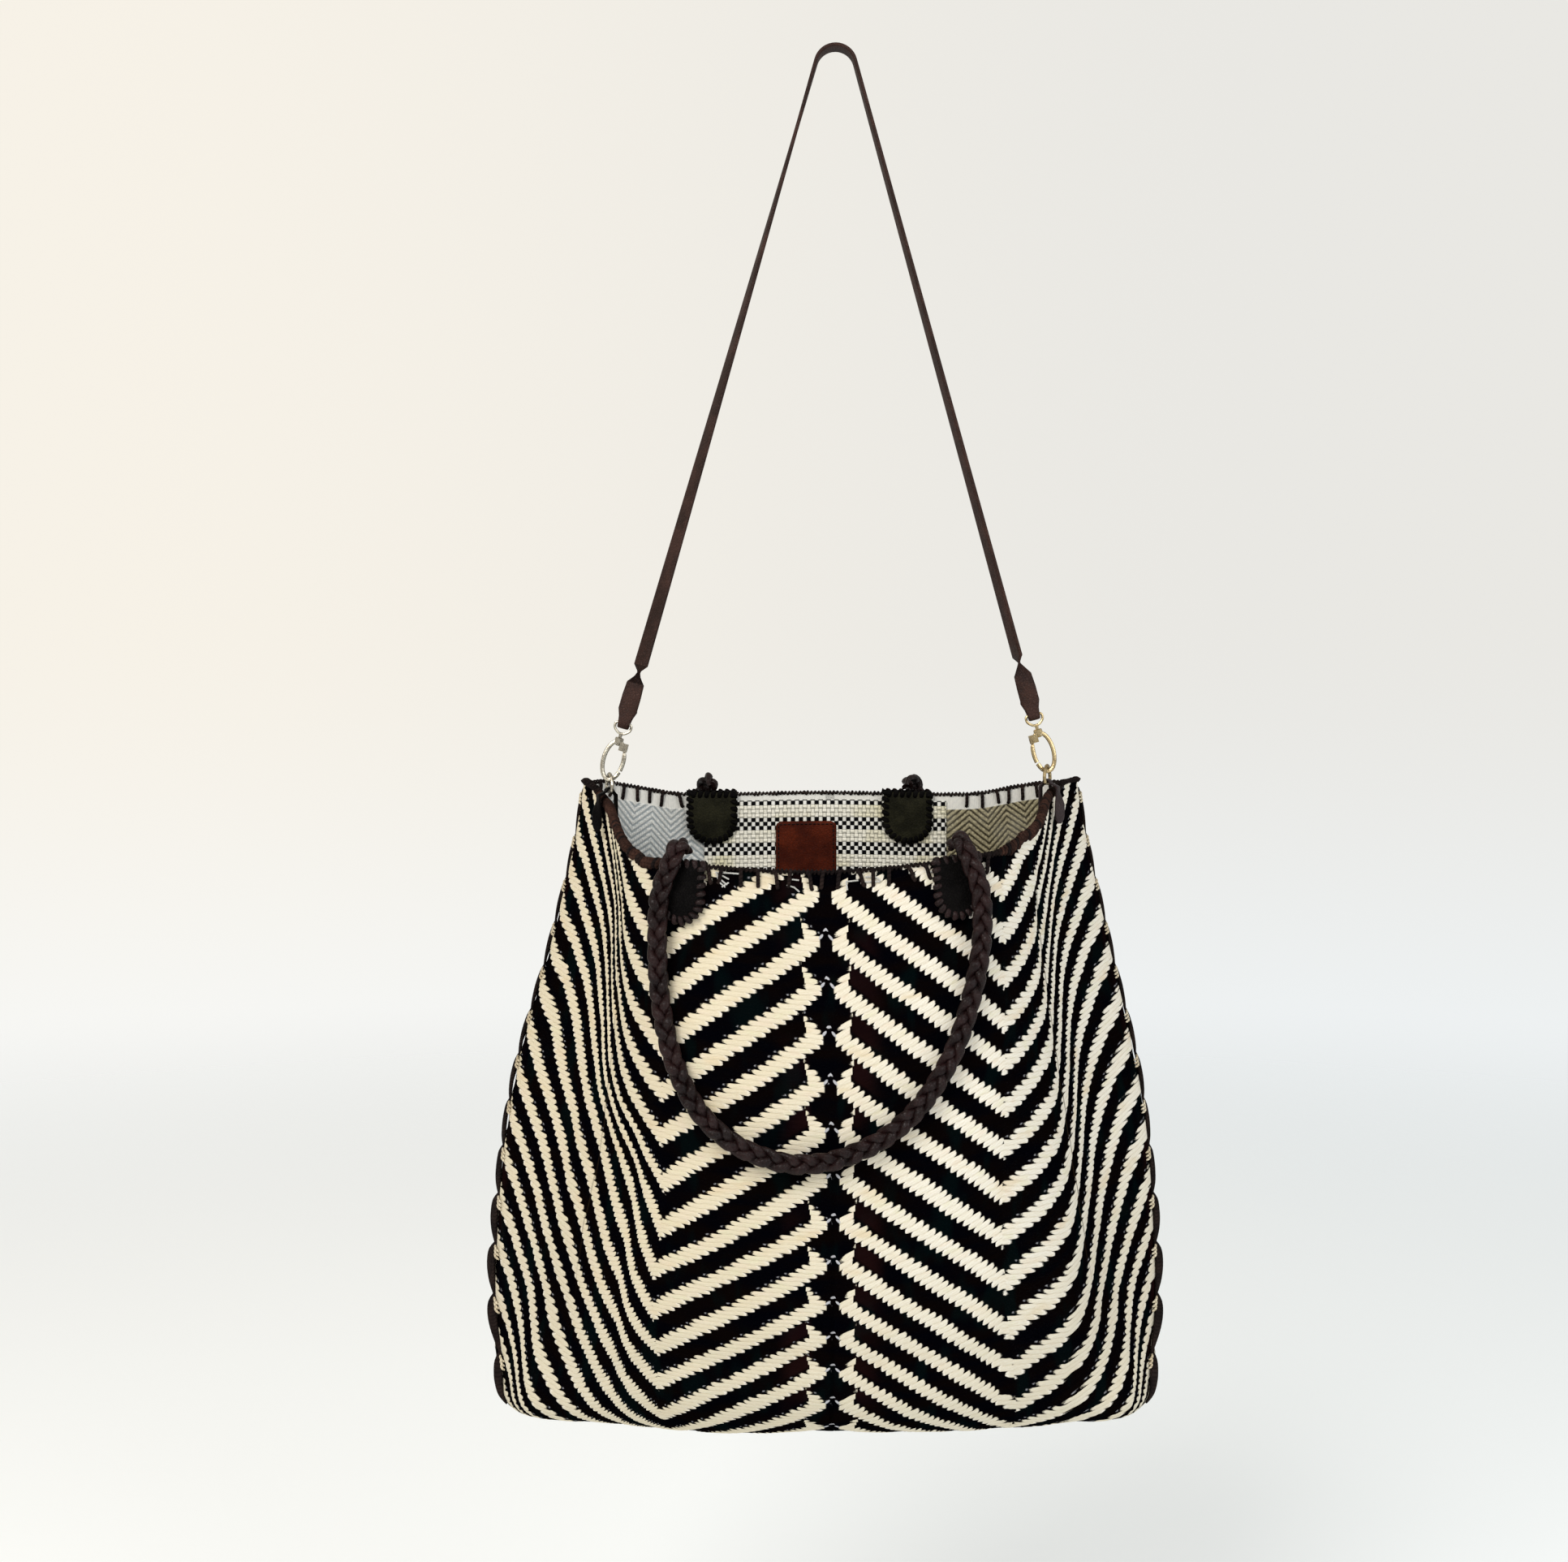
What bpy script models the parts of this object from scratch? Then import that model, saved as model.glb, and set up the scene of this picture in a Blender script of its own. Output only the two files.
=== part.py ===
"""Woven tote bag with two braided handles, hanging by its clip-on shoulder strap.

All sizes are in millimetres and are turned into metres when a mesh is made.
Frame: +Z up, +X to the viewer's right, -Y towards the viewer. The origin is
the point where the strap bears on what holds it up.
"""
import bisect
import math

import bmesh
import bpy
from mathutils import Matrix, Vector

MM = 0.001

# Shoulder strap
STRAP_WIDTH = 12.0
STRAP_THICKNESS = 2.6
STRAP_BEND_RADIUS = 12.5
STRAND_LENGTH = {-1: 472.5, 1: 464.2}
STRAND_ANGLE = {-1: math.radians(16.18), 1: math.radians(15.29)}
FOLD_LENGTH = 20.0
FOLD_BULGE_WIDTH = 13.0
FOLD_TIP_WIDTH = 8.0
LEFT_TWIST = 0.62
RIGHT_TWIST = 0.25

# Swivel clips, measured down the strand from the fold's lowest point
FIT_GAP = 0.3
EYE_WIRE = 0.9
EYE_HALF_WIDTH = 5.6
EYE_DEPTH = 7.4
STEM_RADIUS = 1.2
STEM_HEAD_RADIUS = 2.2
STEM_HEAD_LENGTH = 1.3
COLLAR_RADIUS = 3.0
COLLAR_TOP = 6.3
COLLAR_LENGTH = 4.1
CLIP_WIRE = 1.5
CLIP_HALF_WIDTH = 6.8
CLIP_HALF_HEIGHT = 13.4
CLIP_TOP = 9.0
NOSE_ANGLE = math.radians(60)
PIVOT_ANGLE = math.radians(133)
KNUCKLE_SIZE = 5.6
KNUCKLE_DEPTH = 5.0
SLOT_SIZE = 6.8
SLOT_DEPTH = 3.0
EYELET_RADIUS = 1.45
EYELET_DEPTH = 2.2
PIN_RADIUS = 0.6
PIN_CLEARANCE = 0.12
PIN_LENGTH = 5.8

# Rings and the leather tabs that hold them
RING_WIRE = 1.2
RING_STAND = 6.5
RING_SLACK = 1.2
RING_HALF = (
    (5.4, 0.0), (7.4, 0.7), (8.3, 2.2), (8.4, 4.2), (7.6, 6.8), (6.0, 9.2), (3.4, 11.2), (0.0, 12.0),
)
TAB_WIDTH = 9.0
TAB_LEATHER = 1.6
TAB_OUTER_LENGTH = 24.0
TAB_STAND = 0.8
TAB_INNER_LENGTH = 16.0

# Woven wall
BAG_SHIFT = -5.0
BASE_Z = -922.5
WALL = 3.0
RIDGE = 1.0
BASE_FRONT_RADIUS = 60.0
BASE_SIDE_RADIUS = 20.0
BASE_REAR_RADIUS = 30.0
BASE_THICKENING = 0.8
PLEAT_DEPTH = 6.0

# Widths and depths of the hanging wall, at five heights from the rim down
LEVEL_Z = (-500.0, -600.0, -720.0, -840.0, -895.0)
FRONT_Y = (-79.0, -100.0, -115.0, -102.0, -86.0)
VALLEY_X = (105.0, 105.0, 105.0, 106.0, 107.0)
VALLEY_Y = (-77.0, -98.0, -113.0, -99.0, -82.0)
RIGHT_CORNER_X = (119.0, 129.0, 139.0, 148.0, 152.0)
LEFT_CORNER_X = (119.0, 128.0, 128.0, 138.0, 147.0)
CORNER_Y = (-73.0, -68.0, -80.0, -80.0, -62.0)
RIGHT_GUSSET_X = (151.1, 155.0, 173.0, 190.0, 199.0)
LEFT_GUSSET_X = (151.1, 153.0, 172.0, 190.0, 199.0)
GUSSET_Y = (-0.6, 4.0, -3.0, -20.0, -38.0)
RIGHT_SIDE_X = (176.0, 197.0, 223.0, 229.0, 216.0)
LEFT_SIDE_X = (168.0, 190.0, 222.0, 232.0, 220.0)
SIDE_Y = (73.0, 75.0, 66.0, 26.0, -18.0)
REAR_CORNER_X = (150.0, 170.0, 194.0, 200.0, 190.0)
REAR_Y = 85.0

# Zigzag of the weave
PERIOD = 28.5
STRIPE_SLOPE = 0.76
SIDE_SLOPE = {-1: 0.68, 1: 0.48}
VALLEY_AT = 106.0
STRIPE_START = 0.07
STRIPE_SHARE = 0.48
STRIPE_EDGE = 0.04

# Lining, pocket, label and rim yarn
LINING = 0.8
EDGING = 0.9
EDGING_RISE = 1.8
EDGING_SKIRT = 5.0
EDGING_STAND = 1.2
STITCH_LENGTH = 9.5
STITCH_WIDTH = 1.9
STITCHES = 72
SEAM_YARN = 2.3
SEAM_LOOPS = 12
POCKET = 1.0
POCKET_HALF_WIDTH = 88.0
POCKET_LENGTH = 200.0
LABEL = 1.4
LABEL_WIDTH = 44.0
LABEL_HEIGHT = 42.0
LABEL_CENTRE = -14.0
LABEL_DROP = 21.0

# Braided handles and the leather tongues that hold them
BRAID_RADIUS = 6.8
BRAID_RELIEF = 1.2
BRAID_PITCH = 20.0
BRAID_STEPS = 4
BRAID_END_RADIUS = 5.8
HANDLE_DROP = 192.0
HANDLE_HALF_WIDTH = 100.0
FRONT_HANDLE_AT = 83.0
REAR_HANDLE_AT = 71.0
HANDLE_SHIFT = {-1: -8.0, 1: -11.0}
TONGUE_LEATHER = 1.6
FRONT_TONGUE_HALF_WIDTH = 14.5
REAR_TONGUE_HALF_WIDTH = 17.5
TONGUE_LENGTH = 36.0
OUTER_TONGUE_RISE = 2.4
INNER_TONGUE_RISE = 1.0

ROUND_SIDES = 10
FRONT, RIGHT_SIDE, REAR, LEFT_SIDE = 0, 4, 7, 10
COLUMNS = 14
WALL_STEPS = (4, 2, 4, 3, 2, 3, 4)
INNER_SHARES = (0.0, 0.04, 0.12, 0.24, 0.36, 0.48, 0.6, 0.72, 0.82, 0.9, 0.95, 1.0)

# Sizes that follow from the ones above
SIN_STRAND = {side: math.sin(angle) for side, angle in STRAND_ANGLE.items()}
COS_STRAND = {side: math.cos(angle) for side, angle in STRAND_ANGLE.items()}
STRAP_MID_RADIUS = STRAP_BEND_RADIUS + STRAP_THICKNESS / 2
BAR_RADIUS = EYE_WIRE + FIT_GAP + STRAP_THICKNESS / 2
BAR_DISTANCE = -(BAR_RADIUS + STRAP_THICKNESS / 2)
CLIP_CENTRE = CLIP_TOP + CLIP_HALF_HEIGHT
RING_HEIGHT = RING_HALF[-1][1]
RING_TOP = CLIP_CENTRE + CLIP_HALF_HEIGHT - CLIP_WIRE - RING_SLACK - RING_WIRE
FOLD_X, FOLD_Z, RING_X, RING_FOOT_Z = {}, {}, {}, {}
for hand in (-1, 1):
    reach = STRAP_MID_RADIUS * COS_STRAND[hand] + STRAND_LENGTH[hand] * SIN_STRAND[hand]
    fall = STRAP_MID_RADIUS * SIN_STRAND[hand] - STRAND_LENGTH[hand] * COS_STRAND[hand]
    FOLD_X[hand] = hand * reach
    FOLD_Z[hand] = fall - STRAP_BEND_RADIUS
    RING_X[hand] = hand * (reach + RING_TOP * SIN_STRAND[hand])
    RING_FOOT_Z[hand] = FOLD_Z[hand] - RING_TOP * COS_STRAND[hand] - RING_HEIGHT
RIM_HEIGHTS = (
    -554.6, -543.0, -533.0, RING_FOOT_Z[1] - RING_STAND, -498.6, -500.0, -507.0,
    -506.0, -507.0, -500.0, -498.6, RING_FOOT_Z[-1] - RING_STAND, -545.0, -549.0,
)
LINING_FACE = -(WALL + FIT_GAP)
EDGING_INSIDE = LINING_FACE - LINING - 2 * FIT_GAP
EDGING_OUTSIDE = RIDGE + EDGING_STAND
POCKET_FACE = EDGING_INSIDE
INNER_TONGUE = EDGING_INSIDE - max(EDGING, POCKET) - FIT_GAP
OUTER_TONGUE = EDGING_OUTSIDE + EDGING + 2 * FIT_GAP
LABEL_FACE = POCKET_FACE - POCKET - FIT_GAP


def material(name, colour, roughness, metallic=0.0):
    """One Principled material."""
    made = bpy.data.materials.new(name)
    made.use_nodes = True
    shader = made.node_tree.nodes["Principled BSDF"]
    shader.inputs["Base Color"].default_value = (*colour, 1.0)
    shader.inputs["Roughness"].default_value = roughness
    shader.inputs["Metallic"].default_value = metallic
    return made


def mesh_object(name, points, faces, look, smooth=False):
    """An object from points in millimetres, its faces turned outwards."""
    work = bmesh.new()
    corners = [work.verts.new(Vector(point) * MM) for point in points]
    for face in faces:
        loop = []
        for index in face:
            if corners[index] not in loop:
                loop.append(corners[index])
        if len(loop) > 2:
            work.faces.new(loop)
    bmesh.ops.recalc_face_normals(work, faces=work.faces)
    if work.calc_volume(signed=True) < 0:
        bmesh.ops.reverse_faces(work, faces=work.faces)
    mesh = bpy.data.meshes.new(name)
    work.to_mesh(mesh)
    work.free()
    made = bpy.data.objects.new(name, mesh)
    bpy.context.scene.collection.objects.link(made)
    mesh.materials.append(look)
    if smooth:
        mesh.shade_smooth()
        mesh.set_sharp_from_angle(angle=math.radians(40))
    return made


def loft(rings, ends=True):
    """Points and faces of a skin over rings of equally many points."""
    count = len(rings[0])
    points = [point for ring in rings for point in ring]
    faces = []
    steps = len(rings) - 1 if ends else len(rings)
    for step in range(steps):
        low = step * count
        high = (step + 1) % len(rings) * count
        for side in range(count):
            after = (side + 1) % count
            faces.append((low + side, low + after, high + after, high + side))
    if ends:
        faces.append(tuple(reversed(range(count))))
        last = (len(rings) - 1) * count
        faces.append(tuple(range(last, last + count)))
    return points, faces


def smooth_value(values, position, closed=False):
    """Value on a smooth curve through evenly spaced numbers or vectors."""
    count = len(values)
    step = math.floor(position)
    share = position - step

    def pick(index):
        if closed:
            return values[index % count]
        return values[min(max(index, 0), count - 1)]

    before, start, end, after = (pick(step + shift) for shift in (-1, 0, 1, 2))
    return 0.5 * (
        start * 2.0
        + (end - before) * share
        + (before * 2.0 - start * 5.0 + end * 4.0 - after) * share ** 2
        + (start * 3.0 - before - end * 3.0 + after) * share ** 3
    )


def smooth_path(corners, steps, closed=False):
    """Evenly spaced samples of a smooth curve through corners."""
    spans = len(corners) if closed else len(corners) - 1
    count = spans * steps
    samples = count if closed else count + 1
    return [smooth_value(corners, index / steps, closed) for index in range(samples)]


def tube_rings(path, radius, sides=ROUND_SIDES, closed=False):
    """Rings of a round tube along a path; radius is a number or a function."""
    rings = []
    count = len(path)
    normal = None
    for index, point in enumerate(path):
        before = path[index - 1] if closed or index else path[0]
        after = path[(index + 1) % count] if closed or index < count - 1 else path[-1]
        along = (after - before).normalized()
        if normal is None:
            guide = Vector((0, 1, 0)) if abs(along.y) < 0.9 else Vector((1, 0, 0))
            normal = guide
        normal = (normal - along * normal.dot(along)).normalized()
        across = along.cross(normal)
        ring = []
        for side in range(sides):
            angle = 2 * math.pi * side / sides
            reach = radius(index, angle) if callable(radius) else radius
            ring.append(point + (normal * math.cos(angle) + across * math.sin(angle)) * reach)
        rings.append(ring)
    return rings


def tube(name, path, radius, look, sides=ROUND_SIDES, closed=False):
    points, faces = loft(tube_rings(path, radius, sides, closed), ends=not closed)
    return mesh_object(name, points, faces, look, smooth=True)


def rod(name, start, end, radius, look, sides=ROUND_SIDES):
    """A plain round rod between two points."""
    return tube(name, [start, end], radius, look, sides)


def hide_helper(helper):
    helper.hide_render = True
    helper.display_type = "WIRE"


def combine(target, helper, operation):
    """Join a helper to the target or cut it away."""
    change = target.modifiers.new(operation.lower(), "BOOLEAN")
    change.operation = operation
    change.solver = "EXACT"
    change.object = helper
    hide_helper(helper)


# The woven wall is described by a column, 0 to 14 around the bag, and by the
# distance down the cloth from the rim.

def level_value(values, height):
    """A width or depth of the wall at a height."""
    level = min(max(height, LEVEL_Z[-1]), LEVEL_Z[0])
    step = 0
    while step < len(LEVEL_Z) - 2 and level < LEVEL_Z[step + 1]:
        step += 1
    share = (LEVEL_Z[step] - level) / (LEVEL_Z[step] - LEVEL_Z[step + 1])
    return smooth_value(values, step + share)


def outline_columns(height):
    """The fourteen named corners of the wall's outline at a height."""
    def at(values):
        return level_value(values, height)

    valley_x, valley_y, corner_y = at(VALLEY_X), at(VALLEY_Y), at(CORNER_Y)
    gusset_y, side_y, rear_x = at(GUSSET_Y), at(SIDE_Y), at(REAR_CORNER_X)
    corners = (
        (0.0, at(FRONT_Y)),
        (valley_x, valley_y),
        (at(RIGHT_CORNER_X), corner_y),
        (at(RIGHT_GUSSET_X), gusset_y),
        (at(RIGHT_SIDE_X), side_y),
        (rear_x, REAR_Y),
        (VALLEY_AT, REAR_Y),
        (0.0, REAR_Y),
        (-VALLEY_AT, REAR_Y),
        (-rear_x, REAR_Y),
        (-at(LEFT_SIDE_X), side_y),
        (-at(LEFT_GUSSET_X), gusset_y),
        (-at(LEFT_CORNER_X), corner_y),
        (-valley_x, valley_y),
    )
    return [Vector((x + BAG_SHIFT, y, 0.0)) for x, y in corners]


def both_sides(front, *half, rear):
    """One value for each of the fourteen columns, the same left and right."""
    return [front, *half, rear, *reversed(half)]


BASE_RADII = both_sides(
    BASE_FRONT_RADIUS, BASE_FRONT_RADIUS, (BASE_FRONT_RADIUS + BASE_SIDE_RADIUS) / 2,
    BASE_SIDE_RADIUS, BASE_SIDE_RADIUS, BASE_REAR_RADIUS, BASE_REAR_RADIUS, rear=BASE_REAR_RADIUS,
)
CORNER_CLOTH = 48.0
GUSSET_CLOTH = 86.0
SIDE_CLOTH = 92.0
CLOTH_AT = (
    0.0,
    VALLEY_AT,
    VALLEY_AT + CORNER_CLOTH,
    VALLEY_AT + CORNER_CLOTH + GUSSET_CLOTH,
    VALLEY_AT + CORNER_CLOTH + GUSSET_CLOTH + SIDE_CLOTH,
)


def rim_height(column):
    return smooth_value(RIM_HEIGHTS, column, closed=True)


def base_radius(column):
    return smooth_value(BASE_RADII, column, closed=True)


def cloth_length(column):
    """Distance down the cloth from the rim to the flat base."""
    radius = base_radius(column)
    return rim_height(column) - BASE_Z - radius + radius * math.pi / 2


def rounded_outline(corners, column):
    """A point of a closed curve through unevenly spaced corners."""
    step = math.floor(column)
    share = column - step
    before, start, end, after = (corners[(step + shift) % COLUMNS] for shift in (-1, 0, 1, 2))
    first, middle, last = (start - before).length, (end - start).length, (after - end).length
    leave = (start - before) / first - (end - before) / (first + middle) + (end - start) / middle
    arrive = (end - start) / middle - (after - start) / (middle + last) + (after - end) / last
    cubed, squared = share ** 3, share ** 2
    return (
        start * (2 * cubed - 3 * squared + 1)
        + end * (3 * squared - 2 * cubed)
        + leave * middle * (cubed - 2 * squared + share)
        + arrive * middle * (cubed - squared)
    )


def outline_point(column, height):
    """A point of the outline and its outward direction, both level."""
    corners = outline_columns(height)
    point = rounded_outline(corners, column)
    nearby = 0.02
    along = rounded_outline(corners, column + nearby) - rounded_outline(corners, column - nearby)
    outward = Vector((along.y, -along.x, 0.0)).normalized()
    return point, outward


def pleat(column, down):
    """Depth of the creases that run down from the ring tabs."""
    depth = 0.0
    for crease in (2.5, COLUMNS - 2.5):
        away = abs(column - crease) / 0.5
        if away < 1:
            depth += PLEAT_DEPTH * (1 - away) * min(1.0, down / 60.0)
    fade = max(0.0, 1 - down / 330.0)
    return depth * fade


def cloth_point(column, down, offset):
    """A point of the smooth cloth, offset outwards from its outer face."""
    radius = base_radius(column)
    straight = rim_height(column) - BASE_Z - radius
    if down <= straight:
        height = rim_height(column) - down
        point, outward = outline_point(column, height)
        reach = offset - pleat(column, max(down, 0.0))
        return Vector((point.x, point.y, height)) + outward * reach
    point, outward = outline_point(column, BASE_Z + radius)
    turn = min((down - straight) / radius, math.pi / 2)
    if offset < 0:
        offset *= 1 + BASE_THICKENING * math.sin(turn)
    inward = radius * (1 - math.cos(turn))
    height = BASE_Z + radius * (1 - math.sin(turn))
    reach = offset * math.cos(turn) - inward - pleat(column, down)
    return Vector((point.x, point.y, height - offset * math.sin(turn))) + outward * reach


def wall_columns(steps):
    """Columns with the given number of steps in each of the seven spans."""
    half = []
    for span, count in enumerate(steps):
        half += [span + index / count for index in range(count)]
    return half + [COLUMNS - column for column in reversed(half[1:] + [COLUMNS / 2])]


GRID_COLUMNS = wall_columns(WALL_STEPS)


def panel_point(column, down, offset):
    """Like cloth_point at a grid column, but flat between the inner rows."""
    length = cloth_length(column)
    share = down / length
    if offset >= 0 or share <= 0:
        return cloth_point(column, down, offset)
    row = min(bisect.bisect_right(INNER_SHARES, share), len(INNER_SHARES) - 1) - 1
    low, high = INNER_SHARES[row], INNER_SHARES[row + 1]
    start = cloth_point(column, low * length, offset)
    end = cloth_point(column, high * length, offset)
    return start.lerp(end, (share - low) / (high - low))


def wall_point(column, down, offset):
    """A point offset from the faceted wall as the solids have it."""
    folded = column % COLUMNS
    place = bisect.bisect_right(GRID_COLUMNS, folded) - 1
    low = GRID_COLUMNS[place]
    high = GRID_COLUMNS[place + 1] if place + 1 < len(GRID_COLUMNS) else COLUMNS
    share = (folded - low) / (high - low)
    start = panel_point(low, down, offset)
    if share < 1e-9:
        return start
    return start.lerp(panel_point(high % COLUMNS, down, offset), share)


def cloth_across(column):
    """Signed distance across the cloth from the nearer centre, 0 to the side."""
    folded = column % COLUMNS
    if folded > COLUMNS / 2:
        folded = COLUMNS - folded
    if folded <= RIGHT_SIDE:
        step = min(int(folded), RIGHT_SIDE - 1)
        return CLOTH_AT[step] + (CLOTH_AT[step + 1] - CLOTH_AT[step]) * (folded - step)
    behind = (REAR - folded) / (REAR - RIGHT_SIDE)
    return CLOTH_AT[RIGHT_SIDE] * behind


def stripe_shift(column):
    """How far down the stripes lie at a column, from the zigzag."""
    hand = 1 if column % COLUMNS <= COLUMNS / 2 else -1
    across = cloth_across(column)
    beyond = max(0.0, across - VALLEY_AT)
    return (across - beyond) * STRIPE_SLOPE - beyond * SIDE_SLOPE[hand]


def stripe_levels():
    """Cloth distances of the stripe edges at the centre, with their heights."""
    lowest = -math.ceil(VALLEY_AT * STRIPE_SLOPE / PERIOD) - 1
    longest = max(cloth_length(column) for column in range(COLUMNS))
    rise = max(-stripe_shift(LEFT_SIDE), -stripe_shift(RIGHT_SIDE))
    highest = math.ceil((longest + rise) / PERIOD) + 1
    edge = STRIPE_EDGE
    for number in range(lowest, highest):
        start = number + STRIPE_START
        yield (start - edge) * PERIOD, 0.0
        yield (start + edge) * PERIOD, RIDGE
        yield (start + STRIPE_SHARE - edge) * PERIOD, RIDGE
        yield (start + STRIPE_SHARE + edge) * PERIOD, 0.0


def shell_points(rows):
    """Loops of points down the cloth; rows give distance and offset by column."""
    return [[cloth_point(column, *row(column)) for column in GRID_COLUMNS] for row in rows]


def cup(name, outer_rows, inner_rows, look, slanted=False):
    """A closed cup: an outer skin, an inner skin, a rim and two flat floors.

    The faces of a slanted outer skin are halved along their shorter diagonal.
    """
    count = len(GRID_COLUMNS)
    outer = shell_points(outer_rows)
    inner = shell_points(inner_rows)
    loops = list(reversed(inner)) + outer
    points = [point for loop in loops for point in loop]
    merged = {}
    first_at = []
    for index, point in enumerate(points):
        key = tuple(round(value, 4) for value in point)
        first_at.append(merged.setdefault(key, index))
    faces = []
    for step in range(len(loops) - 1):
        for side in range(count):
            after = (side + 1) % count
            low, high = step * count, (step + 1) * count
            short = (points[low + after] - points[high + side]).length
            long = (points[low + side] - points[high + after]).length
            if step < len(inner) or (slanted and short < long):
                halves = ((low + side, low + after, high + side), (low + after, high + after, high + side))
            else:
                halves = ((low + side, low + after, high + after), (low + side, high + after, high + side))
            for half in halves:
                corners = [first_at[index] for index in half]
                if len(set(corners)) == 3:
                    faces.append(tuple(corners))
    last = (len(loops) - 1) * count
    faces.append(tuple(first_at[index] for index in range(last, last + count)))
    faces.append(tuple(first_at[index] for index in reversed(range(count))))
    used = sorted({index for face in faces for index in face})
    renumber = {index: place for place, index in enumerate(used)}
    tidy = [tuple(renumber[index] for index in face) for face in faces]
    return mesh_object(name, [points[index] for index in used], tidy, look)


def straight_row(share, offset):
    """A row at a share of the cloth's length below the rim."""
    def row(column):
        return cloth_length(column) * share, offset
    return row


def turn_row(turn):
    """A row at an angle round the turn from the wall into the base."""
    def row(column):
        return cloth_length(column) - base_radius(column) * (math.pi / 2 - turn), 0.0
    return row


def stripe_row(level, height):
    """A row along one edge of a stripe, from the rim to halfway round the turn."""
    lowest = turn_row(math.pi / 4)

    def row(column):
        down = level + stripe_shift(column)
        end = lowest(column)[0]
        if down <= 0:
            return 0.0, 0.0
        if down >= end:
            return end, 0.0
        return down, height
    return row


def make_woven_shell(look):
    outer = [straight_row(0.0, 0.0)]
    outer += [stripe_row(level, height) for level, height in stripe_levels()]
    outer += [turn_row(math.pi / 4 * share) for share in (1.0, 1.35, 1.7, 2.0)]
    inner = [straight_row(share, -WALL) for share in INNER_SHARES]
    return cup("woven_shell", outer, inner, look, slanted=True)


def make_lining(look):
    outer = [straight_row(share, LINING_FACE) for share in INNER_SHARES]
    inner = [straight_row(share, LINING_FACE - LINING) for share in INNER_SHARES]
    return cup("lining", outer, inner, look)


def panel(name, middle, half_width, top, bottom, offset, thickness, look, rounded=0.0, steps=4, rows=4):
    """A sheet lying on the wall: middle and half_width are in columns.

    Its lower end is a half round over the given share of its length.
    """
    shape = [((1 - rounded) * row / rows, 1.0) for row in range(rows + 1)]
    if rounded:
        for degrees in (25, 50, 72, 86):
            turn = math.radians(degrees)
            shape.append((1 - rounded + rounded * math.sin(turn), math.cos(turn)))
    near, far = [], []
    for share, narrow in shape:
        for store, reach in ((near, offset), (far, offset + thickness)):
            line = []
            for step in range(steps + 1):
                place = middle + half_width * narrow * (2 * step / steps - 1)
                line.append(wall_point(place, top + (bottom - top) * share, reach))
            store.append(line)
    width = steps + 1
    rows = len(shape) - 1
    points = [point for store in (near, far) for line in store for point in line]
    back = (rows + 1) * width
    faces = []
    for row in range(rows):
        for step in range(steps):
            first = row * width + step
            quad = (first, first + 1, first + width + 1, first + width)
            faces.append(quad)
            faces.append(tuple(back + index for index in reversed(quad)))
    edge = list(range(width))
    edge += [row * width + steps for row in range(1, rows + 1)]
    edge += [rows * width + step for step in reversed(range(steps))]
    edge += [row * width for row in reversed(range(1, rows))]
    for index, start in enumerate(edge):
        end = edge[(index + 1) % len(edge)]
        faces.append((end, start, back + start, back + end))
    return mesh_object(name, points, faces, look)


def make_rim_edging(look):
    """Yarn wrapped over the rim, with the long stitches that hold it."""
    spans = []
    per_column = COLUMNS / STITCHES
    for stitch in range(STITCHES):
        middle = (stitch + 0.5) * per_column
        run = (wall_point(middle + 0.01, 0.0, 0.0) - wall_point(middle, 0.0, 0.0)).length
        reach = STITCH_WIDTH / 2 * 0.01 / run
        spans.append((middle - reach, middle + reach))
    sections = {edge for span in spans for edge in span}
    for column in GRID_COLUMNS:
        if not any(start - 0.02 < column < end + 0.02 for start, end in spans):
            sections.add(column)
    sections = sorted(sections)
    outer_face, inner_face = EDGING_OUTSIDE + EDGING, EDGING_INSIDE - EDGING
    profile = (
        (EDGING_SKIRT, outer_face), (-EDGING_RISE, outer_face),
        (-EDGING_RISE, inner_face), (EDGING_SKIRT, inner_face),
        (EDGING_SKIRT, EDGING_INSIDE), (-2 * FIT_GAP, EDGING_INSIDE),
        (-2 * FIT_GAP, EDGING_OUTSIDE), (EDGING_SKIRT, EDGING_OUTSIDE),
    )
    rings = [[wall_point(column, *place) for place in profile] for column in sections]
    points, faces = loft(rings, ends=False)
    count = len(profile)
    for start, end in spans:
        middle = (start + end) / 2
        inside = RIGHT_SIDE - 0.6 < middle < LEFT_SIDE + 0.6
        if abs(middle - REAR) < POCKET_HALF_WIDTH / VALLEY_AT + 0.1:
            continue
        foot = 3 if inside else 7
        low, high = sections.index(start) * count, sections.index(end) * count
        after = (foot + 1) % count
        quad = (low + foot, low + after, high + after, high + foot)
        faces.remove(quad)
        lower = []
        for index in quad:
            column = sections[index // count]
            lower.append(len(points))
            points.append(wall_point(column, EDGING_SKIRT + STITCH_LENGTH, profile[index % count][1]))
        for index in range(4):
            nearby = (index + 1) % 4
            faces.append((quad[index], quad[nearby], lower[nearby], lower[index]))
        faces.append(tuple(lower))
    return mesh_object("rim_edging", points, faces, look)


def make_side_seam(name, column, look):
    """The thick overcast yarn that runs down one side, in long loops."""
    steps = SEAM_LOOPS * 4
    start = EDGING_SKIRT + FIT_GAP
    length = cloth_length(column) - BASE_SIDE_RADIUS
    path = []
    for step in range(steps + 1):
        down = start + (length - start) * step / steps
        path.append(wall_point(column, down, RIDGE + FIT_GAP + SEAM_YARN))

    def radius(index, angle):
        loop = abs(math.sin(math.pi * (index + 0.5) * SEAM_LOOPS / (steps + 1)))
        return SEAM_YARN * (0.6 + 0.4 * loop)

    return tube(name, path, radius, look, sides=6)


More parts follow.
